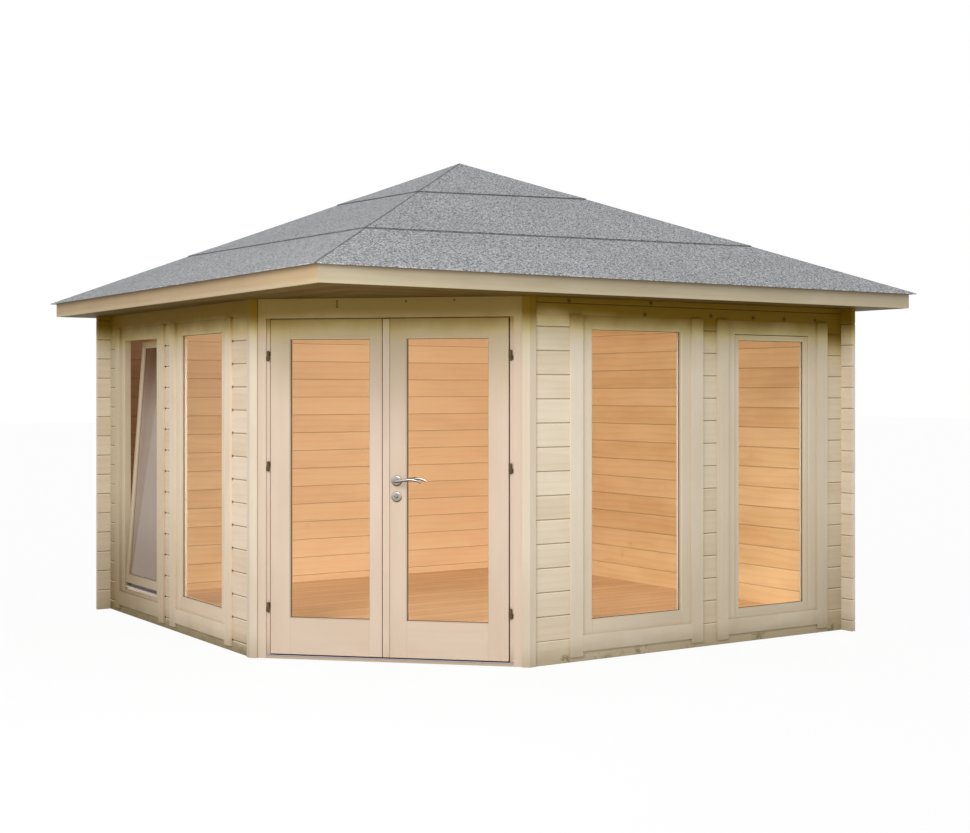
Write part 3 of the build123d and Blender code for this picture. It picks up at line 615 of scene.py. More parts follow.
def wood_with_stain_and_shade(tree, spot, here, turn, lay, tones, knots, strength, stain_and_shade):
    """Spruce whose lay is (upright, board), with the weather and painted shade of its wall on it."""
    figure = place(tree, spruce, {
        "Run": grain_run(tree, here, lay[0]), "Board": lay[1],
        "Pale": tones[0], "Deep": tones[1], "Knots": knots, "Knot": PALE_KNOT, "Figure": strength,
    })
    ends = far_end_shade_and_foot(tree, axes(tree, here)[0], turn)
    stain_and_shade = {"Color": figure["Color"], "Position": spot, **stain_and_shade, **ends}
    return place(tree, weather, stain_and_shade)["Color"], figure["Height"]


def frame_finish(
    name, turn, light, tones=FRAME, knots=0.05, splash=0.2, under=1.0, cast=0.3, cast_from=1.42
):
    """Stiles and rails round one light (middle, half width, low, high), with a fine line
    where they meet."""
    finish, tree, spot = blank_finish(name)
    here = turned_spot(tree, spot, turn)
    given = dict(zip(("Middle", "Half Width", "Low", "High"), light))
    lay = place(tree, framed, {"Position": here, **given})
    stain_and_shade = {
        "Eaves": WINDOW_EAVES, "Under Eaves": under, "Cast": cast, "Cast From": cast_from,
        "Splash": splash,
    }
    boards = (lay["Upright"], lay["Board"])
    shade, height = wood_with_stain_and_shade(tree, spot, here, turn, boards, tones, knots, 0.14, stain_and_shade)
    shade = mixed(tree, times(tree, lay["Joint"], 0.35), shade, colour(140, 116, 84))
    finished(tree, shade, height, 0.55, 0.0004)
    return finish


def board_finish(
    name, turn, tones, upright=False, board=0.0, knots=0.08, eaves=WINDOW_EAVES, under=1.0,
    splash=0.3, spots=(),
):
    """Plain boards that all run one way."""
    finish, tree, spot = blank_finish(name)
    here = turned_spot(tree, spot, turn)
    stain_and_shade = {"Eaves": eaves, "Under Eaves": under, "Splash": splash}
    shade, height = wood_with_stain_and_shade(tree, spot, here, turn, (upright, board), tones, knots, 0.18, stain_and_shade)
    if spots:
        along, _, up = axes(tree, here)
        marks = times(tree, spots_mask(tree, along, up, spots, 0.008), 0.75)
        shade = mixed(tree, marks, shade, DARK_KNOT)
    finished(tree, shade, height, 0.6, 0.0005)
    return finish


def casing_finish(name, turn, middles, half_widths, tones):
    """Uprights beside each window with a level apron between them at the foot."""
    finish, tree, spot = blank_finish(name)
    here = turned_spot(tree, spot, turn)
    along, _, up = axes(tree, here)
    beyond = 1.0
    for middle, half in zip(middles, half_widths):
        aside = sums(tree, "ABSOLUTE", less(tree, along, middle))
        beyond = sums(tree, "MINIMUM", beyond, less(tree, aside, half))
    low_here = sums(tree, "LESS_THAN", up, APRON_TOP)
    level_here = times(tree, sums(tree, "LESS_THAN", beyond, 0.0), low_here)
    board = sums(tree, "ADD", sums(tree, "FLOOR", times(tree, along, 3.7)), 40.0)
    boards = (less(tree, 1.0, level_here), board)
    stain_and_shade = {"Eaves": WINDOW_EAVES, "Splash": 0.45}
    shade, height = wood_with_stain_and_shade(tree, spot, here, turn, boards, tones, 0.05, 0.16, stain_and_shade)
    finished(tree, shade, height, 0.6, 0.0005)
    return finish


# %% Posts, windows and casings
wear(board_finish("post_wood_right", SOUTH, POST, upright=True, board=3.0), "corner_post_right")
wear(board_finish("post_wood_left", WEST, POST, upright=True, board=8.0), "corner_post_left")
pane_bite = 0.009
sash_low, sash_high = extent("window_sash_right_far", SOUTH)
sash_half = (sash_high[0] - sash_low[0]) / 2 + 0.002
for side, turn, tones in (("right", SOUTH, FRAME), ("left", WEST, PINKER)):
    middles, half_widths = [], []
    for place_name in ("near", "far"):
        pane_low, pane_high = extent(f"window_glass_{side}_{place_name}", turn)
        middle = (pane_low[0] + pane_high[0]) / 2
        light = (pane_high[0] - pane_low[0]) / 2 - pane_bite
        low, high = pane_low[2] + pane_bite, pane_high[2] - pane_bite
        if place_name == "far":
            opening = (middle, light, low, high)
            finish = frame_finish(f"sash_wood_{side}", turn, opening, tones, knots=0.02)
            wear(finish, f"window_sash_{side}_far")
            light, low, high = sash_half, sash_low[2], sash_high[2] + SASH_GAP
        opening = (middle, light, low, high)
        finish = frame_finish(f"frame_wood_{side}_{place_name}", turn, opening, tones)
        wear(finish, f"window_frame_{side}_{place_name}")
        middles.append(float(middle))
        half_widths.append(CASING_HALF[place_name])
        print(side, place_name, "opening", [round(v, 3) for v in (2 * light, low, high)])
    wear(casing_finish(f"casing_wood_{side}", turn, middles, half_widths, tones), f"casings_{side}")

# %% Doors
for side in ("left", "right"):
    pane_low, pane_high = extent(f"door_glass_{side}", CORNER)
    middle = (pane_low[0] + pane_high[0]) / 2
    light = (pane_high[0] - pane_low[0]) / 2 - pane_bite
    opening = (middle, light, pane_low[2] + pane_bite, pane_high[2] - pane_bite)
    # The leaves' painted shade of the eaves reaches further down than on the frames.
    finish = frame_finish(
        f"leaf_wood_{side}", CORNER, opening, DOOR, splash=0.0, under=0.9, cast=0.5, cast_from=1.20
    )
    wear(finish, f"door_leaf_{side}")
jamb_wood = board_finish(
    "door_frame_wood", CORNER, DOOR, upright=True, board=11.0, knots=0.05, splash=0.1,
    eaves=DOOR_EAVES, under=0.8,
)
wear(jamb_wood, "door_jambs", "door_meeting_strip")
head_marks = [(0.0948, 1.823), (0.345, 1.826), (-0.2679, 1.826), (-0.2679, 1.812), (-0.2679, 1.798)]
head_wood = board_finish(
    "head_wood", CORNER, DOOR, board=12.0, eaves=DOOR_EAVES, under=0.8, spots=head_marks
)
wear(head_wood, "door_head")
wear(board_finish("threshold_wood", CORNER, DOOR, board=13.0), "door_threshold")
print("doors finished")

# %% [markdown]
# ## Roof, eaves and floor timbers
# These boards go round four sides, so the grain follows Y on two of them and X on the other
# two. Narrow boards side by side get a dark line between each two. Their coordinate across
# the boards gives both the board's number and the line.

# %% Boarded finishes
def sided_run(tree, spot):
    """Level boards on four sides: the grain follows Y where |x| > |y|, and X elsewhere."""
    x, y, z = axes(tree, spot)
    side = sums(tree, "GREATER_THAN", sums(tree, "ABSOLUTE", x), sums(tree, "ABSOLUTE", y))
    return picked(tree, side, vector(tree, x, z, y), vector(tree, y, z, x))


def boarded_finish(name, tones, width, knots, line, figure_strength=0.4, floor=False):
    """Boards side by side with a dark line between each two, round the four sides or, on
    the floor, all along X with the room's light painted in as a glow."""
    finish, tree, spot = blank_finish(name)
    run = grain_run(tree, spot, False) if floor else sided_run(tree, spot)
    across = axes(tree, run)[2]
    count = sums(tree, "DIVIDE", across, width)
    figure = place(tree, spruce, {
        "Run": run, "Board": sums(tree, "FLOOR", count), "Pale": tones[0], "Deep": tones[1],
        "Knots": knots, "Figure": figure_strength,
    })
    near = sums(tree, "ABSOLUTE", less(tree, count, sums(tree, "ROUND", count)))
    joint = between(tree, times(tree, near, width), 0.0035, 0.001)
    shade = mixed(tree, times(tree, joint, line), figure["Color"], colour(50, 34, 16))
    height = less(tree, figure["Height"], times(tree, joint, 2.0))
    # Painted light: the floor glows with the room's light.
    glow = mixed(tree, 0.7, BLACK, shade) if floor else None
    finished(tree, shade, height, 0.6, 0.001, glow)
    return finish


OLD_WOOD = (colour(140, 126, 84), colour(102, 88, 52))
roof_wood = boarded_finish("roof_boarding", ROOF_WOOD, 0.095, 0.3, 0.7)
wear(roof_wood, "roof_boards", "rafters", "apex_block")
# Soffit tones: partly stain, partly painted shade of the overhang.
wear(boarded_finish("soffit_boarding", SOFFIT_STAIN_AND_SHADE, 0.095, 0.3, 0.7), "soffit")
wear(boarded_finish("floor_boarding", FLOOR, 0.115, 0.2, 0.5, 0.3, floor=True), "floor_boards")
wear(boarded_finish("bearer_wood", OLD_WOOD, 0.4, 0.2, 0.0), "floor_bearers")
wear(boarded_finish("plate_wood", ROOM, 0.4, 0.3, 0.0), "wall_plates")
print("roof and floor timbers finished")

# %% [markdown]
# The fascia is the cleanest board of the cabin. It is a touch pinker on the left side, a thin
# dark line of painted shadow sits under the felt's edge, and the lower edge is paler.

# %% Fascia
fascia_finish, tree, spot = blank_finish("fascia_wood")
x, y, up = axes(tree, spot)
left_side = sums(tree, "LESS_THAN", x, less(tree, y, 0.0))
figure = place(tree, spruce, {
    "Run": sided_run(tree, spot), "Board": left_side, "Knots": 0.10, "Knot": PALE_KNOT, "Figure": 0.22,
    "Pale": mixed(tree, left_side, FASCIA[0], colour(188, 162, 126)),
    "Deep": mixed(tree, left_side, FASCIA[1], colour(172, 144, 108)),
})
fascia_low, fascia_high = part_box("fascia")
# Painted shadow of the felt's edge: a dark band along the top of the fascia.
felt_edge_shadow = between(tree, up, fascia_high.z - 0.045, fascia_high.z - 0.008, 0.0, 0.85)
shade = mixed(tree, felt_edge_shadow, figure["Color"], colour(104, 84, 50))
foot = between(tree, up, fascia_low.z + 0.03, fascia_low.z, 0.0, 0.5)
shade = mixed(tree, foot, shade, colour(200, 188, 158))
finished(tree, shade, figure["Height"], 0.55, 0.0005)
wear(fascia_finish, "fascia")
print("fascia", round(fascia_high.z - fascia_low.z, 3), "m tall")

# %% [markdown]
# ## Roof felt
# The roof is covered in bitumen felt with grey slate granules pressed into it. From a few
# metres the granules read as a strong speckle. A Voronoi texture gives every grain its own
# grey, a finer noise breaks them up, and a slow cloud keeps the sheet from looking even.
# The sheets overlap at two lines on each side, and at the hips. A painted shadow darkens a
# narrow band below each overlap line. The lines on the two near sides are laid a little askew,
# so they are straight lines d = start + slope * u, where u runs along the side and d is the
# distance from the middle of the roof. The felt's own vertices on two hips give start and slope.

# %% Felt finish
felt_points = np.unique(np.round(node_points("roof_felt"), 4), axis=0)


def hip_levels(sign_x, sign_y):
    """Distances from the middle of the two lower sheet edges on one hip, lowest sheet first."""
    on_hip = np.abs(felt_points[:, 0] * sign_x - felt_points[:, 1] * sign_y) < 0.001
    on_hip &= (felt_points[:, 0] * sign_x > 0.01)
    rows = felt_points[on_hip]
    _, first = np.unique(np.round(rows[:, 2], 3), return_index=True)
    reach = np.abs(rows[first, 0])
    return [float(reach[3]), float(reach[6])]


near_corner, far_corner = hip_levels(-1, -1), hip_levels(1, -1)
straight = hip_levels(1, 1)
felt, tree, spot = blank_finish("mineral_felt")
grain = add(tree, "TexVoronoi", {"Vector": spot, "Scale": 190.0})
shade_of_grain = add(tree, "SeparateColor", {0: grain.outputs["Color"]}).outputs[0]
speckle = noise(tree, spot, 90.0, 3.0, 0.7)
cloud = noise(tree, spot, 1.6, 3.0)
greys = times_plus(tree, between(tree, speckle, 0.3, 0.7), 0.5, times(tree, shade_of_grain, 0.5))
shade = mixed(tree, between(tree, greys, 0.15, 0.85), colour(97, 99, 102), colour(214, 216, 218))
shade = mixed(tree, between(tree, cloud, 0.35, 0.7, 0.0, 0.18), shade, colour(140, 142, 145))
x, y, _ = axes(tree, spot)
size_x, size_y = sums(tree, "ABSOLUTE", x), sums(tree, "ABSOLUTE", y)
reach = larger(tree, size_x, size_y)
total = sums(tree, "ADD", x, y)
near_side = sums(tree, "LESS_THAN", total, 0.0)
# Painted shadow: a narrow dark band below each overlap line; each hip also gets a dark seam line.
seam = 0.0
for near_reach, far_reach, even in zip(near_corner, far_corner, straight):
    slope = (far_reach - near_reach) / (far_reach + near_reach)
    start = near_reach + slope * near_reach
    askew = times_plus(tree, sums(tree, "ADD", total, reach), slope, start)
    line = add(tree, "Mix", {0: near_side, 2: even, 3: askew}).outputs[0]
    below = less(tree, reach, line)
    mark = times(tree, between(tree, below, -0.003, 0.0), between(tree, below, 0.016, 0.007))
    seam = larger(tree, seam, mark)
off_hip = sums(tree, "ABSOLUTE", less(tree, size_x, size_y))
seam = larger(tree, seam, between(tree, off_hip, 0.012, 0.005, 0.0, 0.9))
shade = mixed(tree, times(tree, seam, 0.72), shade, colour(70, 72, 76))
shaded(tree, shade, 0.9, bumped(tree, less(tree, greys, seam), 0.5, 0.002), {"Specular IOR Level": 0.2})
wear(felt, "roof_felt")
print("felt edges at", near_corner, far_corner, straight)

# %% [markdown]
# ## Glass and metal
# A pane is Principled glass with plain values. Lamps have to reach the room behind it, so a
# Mix Shader swaps in a Transparent shader for shadow rays only. The photograph's panes show
# the room with hardly any reflection, so their IOR is low. The sash that stands open has a
# painted reflection of the sky in its colour instead, darker towards the top and the foot, so
# it looks pale and clouded. The metals are plain Metallic: brushing is in the roughness, and
# painted shade darkens the faces that look down.

# %% Glass and metal finishes
def pane_finish(name, tone, transmission, ior, shadow_tone):
    """A clear pane that lets lamp light through."""
    finish, tree, _ = blank_finish(name)
    shader = add(tree, "BsdfPrincipled", {"Base Color": tone, "Roughness": 0.0, "IOR": ior})
    shader.inputs["Transmission Weight"].default_value = transmission
    clear = add(tree, "BsdfTransparent", {"Color": shadow_tone})
    lamp_ray = add(tree, "LightPath").outputs["Is Shadow Ray"]
    swap = add(tree, "MixShader", {0: lamp_ray, 1: shader.outputs[0], 2: clear.outputs[0]})
    tree.links.new(swap.outputs[0], add(tree, "OutputMaterial").inputs[0])
    return finish


glass = pane_finish("clear_glass", (0.98, 0.98, 0.97, 1.0), 1.0, 1.06, (0.95, 0.95, 0.94, 1.0))
sky_painted = pane_finish("milky_glass", colour(190, 174, 160), 0.42, 1.2, (0.8, 0.8, 0.8, 1.0))
tree = sky_painted.node_tree
up = axes(tree, add(tree, "TexCoord").outputs["Object"])[2]
# Painted reflection: the open sash's colour stands in for the sky it reflects, darker towards the top
# and the foot.
painted_reflection = mixed(tree, between(tree, up, 1.15, 1.62), colour(190, 174, 160), colour(132, 104, 82))
painted_reflection = mixed(tree, between(tree, up, 0.70, 0.30, 0.0, 0.8), painted_reflection, colour(160, 138, 116))
tree.links.new(painted_reflection, [n for n in tree.nodes if n.type == "BSDF_PRINCIPLED"][0].inputs["Base Color"])
wear(glass, *[name for name in nodes if "glass" in name])
wear(sky_painted, "window_glass_left_far")


def metal_finish(name, tone, dark, rough, brush, under=0.0):
    """Metal with brushing drawn out along one axis, grime in the hollows of a noise, and
    painted shade on the faces that look down."""
    finish, tree, spot = blank_finish(name)
    lines = noise(tree, stretched(tree, spot, brush), 1.0, 3.0)
    grime = noise(tree, spot, 60.0, 3.0)
    facing = axes(tree, add(tree, "NewGeometry").outputs["Normal"])[2]
    # Painted shade: the faces that look down are darkened.
    painted_underside_shade = between(tree, facing, 0.35, -0.45, 0.0, under)
    share = larger(tree, between(tree, grime, 0.45, 0.75, 0.0, 0.5), painted_underside_shade)
    shine = times_plus(tree, lines, 0.15, rough)
    shade = mixed(tree, share, tone, dark)
    shaded(tree, shade, shine, bumped(tree, lines, 0.1, 0.0003), {"Metallic": 1.0})
    return finish


satin = metal_finish(
    "polished_steel", colour(214, 208, 202), colour(92, 80, 70), 0.12, (300, 300, 40), 1.0
)
bronze = metal_finish(
    "bronzed_steel", colour(112, 96, 66), colour(62, 50, 32), 0.35, (80, 80, 300), 0.4
)
strip = metal_finish(
    "strip_alloy", colour(176, 172, 178), colour(120, 114, 116), 0.35, (30, 30, 500), 0.3
)
wear(bronze, "hinge_halves_frame", "hinge_halves_left", "hinge_halves_right")
wear(strip, "threshold_strip")
wear(satin, "door_lever", "lock_roses")

bar_finish, tree, spot = blank_finish("bar_alloy")
up = axes(tree, spot)[2]
grime = noise(tree, spot, 70.0, 3.0)
upstand_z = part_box("window_weather_bar")[0].z + 0.021
# Painted shade: the upstand behind the bar is near-black, standing in for the shade in the gap under
# the sash.
upstand = between(tree, up, upstand_z - 0.001, upstand_z + 0.001)
shade = mixed(tree, upstand, colour(222, 208, 190), colour(66, 50, 40))
shade = mixed(tree, between(tree, grime, 0.45, 0.75, 0.0, 0.35), shade, colour(120, 104, 86))
shaded(tree, shade, 0.45, bumped(tree, grime, 0.1, 0.0003))
wear(bar_finish, "window_weather_bar")
print("glass and metals finished")

# %% [markdown]
# ## New pieces as surfaces
# Small parts that are turned, cast or run to a profile are rows of points worked out whole
# with numpy. Three builders do for all of them: a ring whose profile is a closed loop, a
# body with a pole at each end, and a loop carried along a path. Each piece's signed volume
# tells whether its faces look outwards, and turns them if they don't.

# %% Surface helpers
def surface(name, parts, finish, body):
    """One mesh object from (points, faces) parts, riding on a body."""
    points, faces, count = [], [], 0
    for part_points, part_faces in parts:
        points.append(part_points)
        faces += [tuple(int(i) + count for i in face) for face in part_faces]
        count += len(part_points)
    mesh = bpy.data.meshes.new(name)
    mesh.from_pydata(np.concatenate(points).tolist(), [], faces)
    mesh.polygons.foreach_set("use_smooth", np.full(len(mesh.polygons), True))
    mesh.set_sharp_from_angle(angle=math.radians(38))
    mesh.materials.append(finish)
    piece = bpy.data.objects.new(name, mesh)
    bpy.context.scene.collection.objects.link(piece)
    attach(piece, body)
    print(name, len(faces), "faces on", body)
    return piece


def outward(points, faces):
    """The same faces, turned over if the volume sum p0 . (p1 x p2) / 6 comes out negative."""
    volume = 0.0
    for face in faces:
        first, *rest = points[list(face)]
        volume += sum(np.dot(first, np.cross(a, b)) for a, b in zip(rest, rest[1:]))
    return points, [tuple(face) if volume > 0 else tuple(face[::-1]) for face in faces]


def ring_faces(rings, sides, wrap):
    """Quads between rings of points; wrap joins the last ring to the first."""
    i = np.arange(rings if wrap else rings - 1)
    j = np.arange(sides)
    i, j = np.meshgrid(i, j, indexing="ij")
    i2, j2 = (i + 1) % rings, (j + 1) % sides
    quads = np.stack([i * sides + j, i2 * sides + j, i2 * sides + j2, i * sides + j2], -1)
    return [tuple(quad) for quad in quads.reshape(-1, 4).tolist()]


def looped(rings):
    """A closed tube: rings of points, the last joined to the first."""
    count, sides = rings.shape[:2]
    return outward(rings.reshape(-1, 3), ring_faces(count, sides, True))


def capped(rings):
    """A body from rings of points, each end closed by a fan to the end ring's middle."""
    count, sides = rings.shape[:2]
    points = np.concatenate([rings.reshape(-1, 3), rings[:1].mean(1), rings[-1:].mean(1)])
    faces = ring_faces(count, sides, False)
    first, last = count * sides, count * sides + 1
    faces += [(first, j, (j + 1) % sides) for j in range(sides)]
    base = (count - 1) * sides
    faces += [(last, base + (j + 1) % sides, base + j) for j in range(sides)]
    return outward(points, faces)


def on_door(local):
    """Rows (u, w, z) of the cut corner, w out of the leaf's face, as world points."""
    local = np.asarray(local, float)
    facing = np.stack([local[..., 0], -(leaf_face + local[..., 1]), local[..., 2]], -1)
    return turned(facing, -CORNER)


def rounded(points, rounds=4):
    """Chaikin's corner cutting: every run keeps the points at a quarter and three quarters."""
    points = np.asarray(points, float)
    for _ in range(rounds):
        a, b = points[:-1], points[1:]
        cut = np.stack([a * 0.75 + b * 0.25, a * 0.25 + b * 0.75], 1).reshape(-1, points.shape[1])
        points = np.concatenate([points[:1], cut, points[-1:]])
    return points


angles = np.linspace(0, 2 * math.pi, 48, endpoint=False)
print("surface helpers ready")

# %% [markdown]
# ## Glazing seals
# A thin brown seal runs round each pane. It is one small bow-shaped profile taken round the
# four corners of the light. The pane's own vertices give its plane, so that the sash that
# leans inwards gets its seals at the same tilt.

# %% Seals
rubber, tree, spot = blank_finish("seal_rubber")
mottle = noise(tree, spot, 120.0, 2.0)
shade = mixed(tree, mottle, colour(84, 60, 34), colour(112, 84, 52))
shaded(tree, shade, 0.55, bumped(tree, mottle, 0.2, 0.0003))
seal_w, seal_h = 0.0022, 0.0015


def pane_plane(name):
    """A pane's centre, its across, up and outward directions, and half its sizes."""
    points = node_points(name)
    centre = (points.min(0) + points.max(0)) / 2
    spread = np.linalg.svd(points - centre, full_matrices=False)[2]
    out = spread[2] * (1 if spread[2] @ centre > 0 else -1)
    across = np.cross((0, 0, 1), out)
    across /= np.linalg.norm(across)
    axes = np.stack([across, np.cross(out, across), out])
    local = (points - centre) @ axes.T
    centre = centre + ((local.max(0) + local.min(0)) / 2) @ axes
    return centre, axes, (local.max(0) - local.min(0)) / 2


def seal_ring(name, side):
    """The bow (t, h) round four corners: t goes inwards from the light's edge, h off the glass."""
    centre, axes, half = pane_plane(name)
    bow = np.linspace(0, math.pi, 7)
    t = seal_w * (1 - np.cos(bow)) / 2
    corners = np.array([(-1, -1), (1, -1), (1, 1), (-1, 1)])
    local = np.zeros((4, len(bow), 3))
    local[:, :, :2] = corners[:, None, :] * (half[None, None, :2] - pane_bite - t[None, :, None])
    local[:, :, 2] = (seal_h * np.sin(bow) + half[2]) * side
    return looped(local @ axes + centre)


for name in sorted(n for n in nodes if "glass" in n):
    body = "cabin"
    if name.startswith("door"):
        body = "leaf_left" if name.endswith("left") else "leaf_right"
    both_sides = [seal_ring(name, 1), seal_ring(name, -1)]
    surface(name.replace("glass", "seal"), both_sides, rubber, body)

# %% Strip over the right sash
STRIP_BACK, STRIP_HALF_DEPTH, STRIP_HALF_HEIGHT = 0.008, 0.005, 0.0021
strip_ring = np.linspace(0, 2 * math.pi, 16, endpoint=False)
strip_rings = np.zeros((2, 16, 3))
strip_rings[:, :, 0] = np.array([sash_low[0] + 0.001, sash_high[0] - 0.001])[:, None]
strip_rings[:, :, 1] = sash_high[1] - STRIP_BACK + STRIP_HALF_DEPTH * np.cos(strip_ring)
strip_rings[:, :, 2] = sash_high[2] + SASH_GAP / 2 + STRIP_HALF_HEIGHT * np.sin(strip_ring)
surface("sash_head_seal", [capped(strip_rings)], rubber, "cabin")

# %% [markdown]
# ## Jamb fillets
# Beside each leaf the jamb has a pale fillet, set a little behind the face, that the hinge
# barrels stand in front of. It is a rounded strip carried up the jamb. It stays
# clear of the leaf's edge, which swings away from it.

# %% Fillets
leaf_half = float(np.abs(corner_high[0]))
fillet_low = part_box("threshold_strip")[1].z + 0.0006
fillet_high = corner_high[2] + 0.0054
fillet_wood = board_finish("fillet_wood", CORNER, DOOR, upright=True, board=17.0, knots=0.0)
u0, u1 = leaf_half + 0.0055, leaf_half + 0.0257
w0, w1 = -0.0355, -0.0060
profile = np.array([
    (u0, w0), (u0, w1 - 0.0030), (u0 + 0.0009, w1 - 0.0009), (u0 + 0.0030, w1),
    (u1 - 0.0010, w1), (u1, w1 - 0.0010), (u1, w0),
])
fillets = []
for sign in (-1, 1):
    levels = np.array([fillet_low, fillet_high])
    rings = np.zeros((2, len(profile), 3))
    rings[:, :, 0] = profile[:, 0] * sign
    rings[:, :, 1] = profile[:, 1]
    rings[:, :, 2] = levels[:, None]
    fillets.append(capped(on_door(rings)))
surface("jamb_fillets", fillets, fillet_wood, "cabin")

# %% [markdown]
# ## Lever and roses
# The lever handles are one cast curve: the neck comes out of the door, bends and thins into
# an arched grip. One path goes from the tip of the inner grip, through the door, to the tip
# of the outer one, and an ellipse that changes size is carried along it. The roses are
# turned domes with a hole for the neck or for the lock's cylinder.

# %% Lever
def joint_place(name):
    """Where a joint of the doors is, in the cut corner's coordinates."""
    joint = next(j for j in frame["joints"] if j["name"] == name)
    return turned(np.array([joint["pos_m"]]), CORNER)[0]


pivot = joint_place("lever_turn")
spindle_u, spindle_z = float(pivot[0]), float(pivot[2])
leaf_t = leaf_face - leaf_back
half_route = np.array([
    (0.000, 0.018, 0.000), (0.000, 0.030, 0.000), (0.001, 0.046, -0.001), (0.018, 0.0475, -0.001),
    (0.048, 0.0475, 0.004), (0.082, 0.0465, 0.008), (0.114, 0.0445, 0.004), (0.139, 0.041, -0.009),
])
inner_route = half_route[::-1] * (1, -1, 1) - (0, leaf_t, 0)
route = rounded(np.concatenate([inner_route, half_route]), 4)
lengths = np.concatenate([[0], np.cumsum(np.linalg.norm(np.diff(route, axis=0), axis=1))])
from_tip = np.minimum(lengths, lengths[-1] - lengths)
tip_length = 0.006
near_tip = np.linspace(0, tip_length, 7)
middle_run = np.linspace(tip_length, lengths[-1] - tip_length, 110)
keep = np.concatenate([near_tip[:-1], middle_run, lengths[-1] - near_tip[::-1][1:]])
route = np.stack([np.interp(keep, lengths, route[:, k]) for k in range(3)], 1)
from_tip = np.minimum(keep, lengths[-1] - keep)
stations = [0, tip_length, 0.03, 0.085, 0.120, 0.150]
half_height = np.interp(from_tip, stations, [0, 0.0044, 0.0060, 0.0077, 0.0084, 0.0092])
half_depth = np.interp(from_tip, stations, [0, 0.0030, 0.0042, 0.0052, 0.0070, 0.0088])
tip = np.clip(from_tip / tip_length, 0, 1)
round_off = np.sqrt(np.clip(1 - (1 - tip) ** 2, 0.004, 1))
half_height = np.where(from_tip < tip_length, 0.0044 * round_off, half_height)
half_depth = np.where(from_tip < tip_length, 0.0030 * round_off, half_depth)
tangent = np.gradient(route, axis=0)
tangent /= np.linalg.norm(tangent, axis=1)[:, None]
sideways = np.cross(tangent, (0, 0, 1))
sideways /= np.linalg.norm(sideways, axis=1)[:, None]
upwards = np.cross(sideways, tangent)
ring = angles[::2]
rings = (
    route[:, None, :]
    + sideways[:, None, :] * half_depth[:, None, None] * np.cos(ring)[None, :, None]
    + upwards[:, None, :] * half_height[:, None, None] * np.sin(ring)[None, :, None]
)
lever_piece = surface(
    "lever_handles", [capped(on_door(rings + (spindle_u, 0, spindle_z)))], satin, "lever"
)
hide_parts("door_lever")

# %% Roses and lock cylinder
key_z = spindle_z - 0.081


def on_side(local, side):
    """Rows on the door's outer face, or mirrored onto its inner one where side is -1."""
    if side < 0:
        local[..., 1] = -leaf_t - local[..., 1]
    return on_door(local)


def rose(centre_z, hole, outer, height, side):
    """A domed ring: w = height * (1 - t ** 3) ** (1 / 3) while t goes from hole to rim."""
    t = np.linspace(0, 1, 15)
    r = np.concatenate([[hole], hole + (outer - hole) * t, [outer]])
    w = np.concatenate([[0.0004], 0.0004 + height * (1 - t ** 3) ** (1 / 3), [0.0004]])
    local = np.stack([
        spindle_u + r[:, None] * np.cos(angles), np.broadcast_to(w[:, None], (len(r), len(angles))),
        centre_z + r[:, None] * np.sin(angles),
    ], -1)
    return looped(on_side(local, side))


def pear(circle, tail, length, levels, sizes, side):
    """A lock cylinder: each ray's reach is the larger of the circle's and the tail's."""
    down = np.sin(angles) < 0
    cosines, sines = (np.maximum(np.abs(wave(angles)), 1e-6) for wave in (np.cos, np.sin))
    tail_reach = np.minimum(tail / cosines, length / sines)
    reach = np.where(down, np.maximum(circle, np.minimum(tail_reach, length)), circle)
    sizes, levels = np.array(sizes), np.array(levels)
    local = np.stack([
        spindle_u + sizes[:, None] * reach * np.cos(angles),
        np.broadcast_to(levels[:, None], (len(levels), len(angles))),
        key_z + 0.004 + sizes[:, None] * reach * np.sin(angles),
    ], -1)
    return capped(on_side(local, side))


rose_parts, keyhole_shade_parts = [], []
for side in (1, -1):
    rose_parts.append(rose(spindle_z, 0.0103, 0.0285, 0.0085, side))
    rose_parts.append(rose(key_z, 0.0105, 0.0275, 0.0070, side))
    rose_parts.append(pear(0.0080, 0.0046, 0.0098, [0.0005, 0.0082, 0.0090], [1.0, 1.0, 0.88], side))
    keyhole_shade_parts.append(pear(0.0011, 0.0007, 0.0060, [0.0088, 0.00915], [1.0, 1.0], side))
rose_piece = surface("roses_and_cylinder", rose_parts, satin, "leaf_right")
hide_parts("lock_roses")
# Painted shade: a dark piece in each cylinder's face stands in for the shaded keyway.
surface("keyhole_shade", keyhole_shade_parts, rubber, "leaf_right")

# %% [markdown]
# ## Hinge caps and screws
# A small turned button closes each end of a hinge barrel, and countersunk screws hold the
# threshold strip. Both are polar grids of a few dozen points: height is a function of the
# distance from the middle, and the screws' cross is a dip along two lines.

# %% Hinge caps
CAP_RADIUS, CAP_DOME, CAP_RIM = 0.0062, 0.0035, 0.0004
hinge_pivot = joint_place("right_leaf_swing")
hinge_u, hinge_w = float(hinge_pivot[0]), float(-hinge_pivot[1] - leaf_face)
frame_z = np.sort(node_points("hinge_halves_frame")[:, 2])
bottoms = [group[0] for group in np.split(frame_z, np.where(np.diff(frame_z) > 0.2)[0] + 1)]
leaf_z = np.sort(node_points("hinge_halves_right")[:, 2])
tops = [group[-1] for group in np.split(leaf_z, np.where(np.diff(leaf_z) > 0.2)[0] + 1)]


def button(u, z, direction):
    """A dome on a barrel's end: h = CAP_DOME * sqrt(1 - (r / CAP_RADIUS) ** 2)."""
    turn = np.linspace(0, math.pi / 2, 7)[:-1]
    r = np.concatenate([[CAP_RADIUS], CAP_RADIUS * np.cos(turn)])
    h = np.concatenate([[-CAP_RIM], CAP_RIM + CAP_DOME * np.sin(turn)])
    around = angles[::3]
    local = np.stack([
        u + r[:, None] * np.cos(around), hinge_w + r[:, None] * np.sin(around),
        np.broadcast_to(z + direction * h[:, None], (len(r), len(around))),
    ], -1)
    return capped(on_door(local))


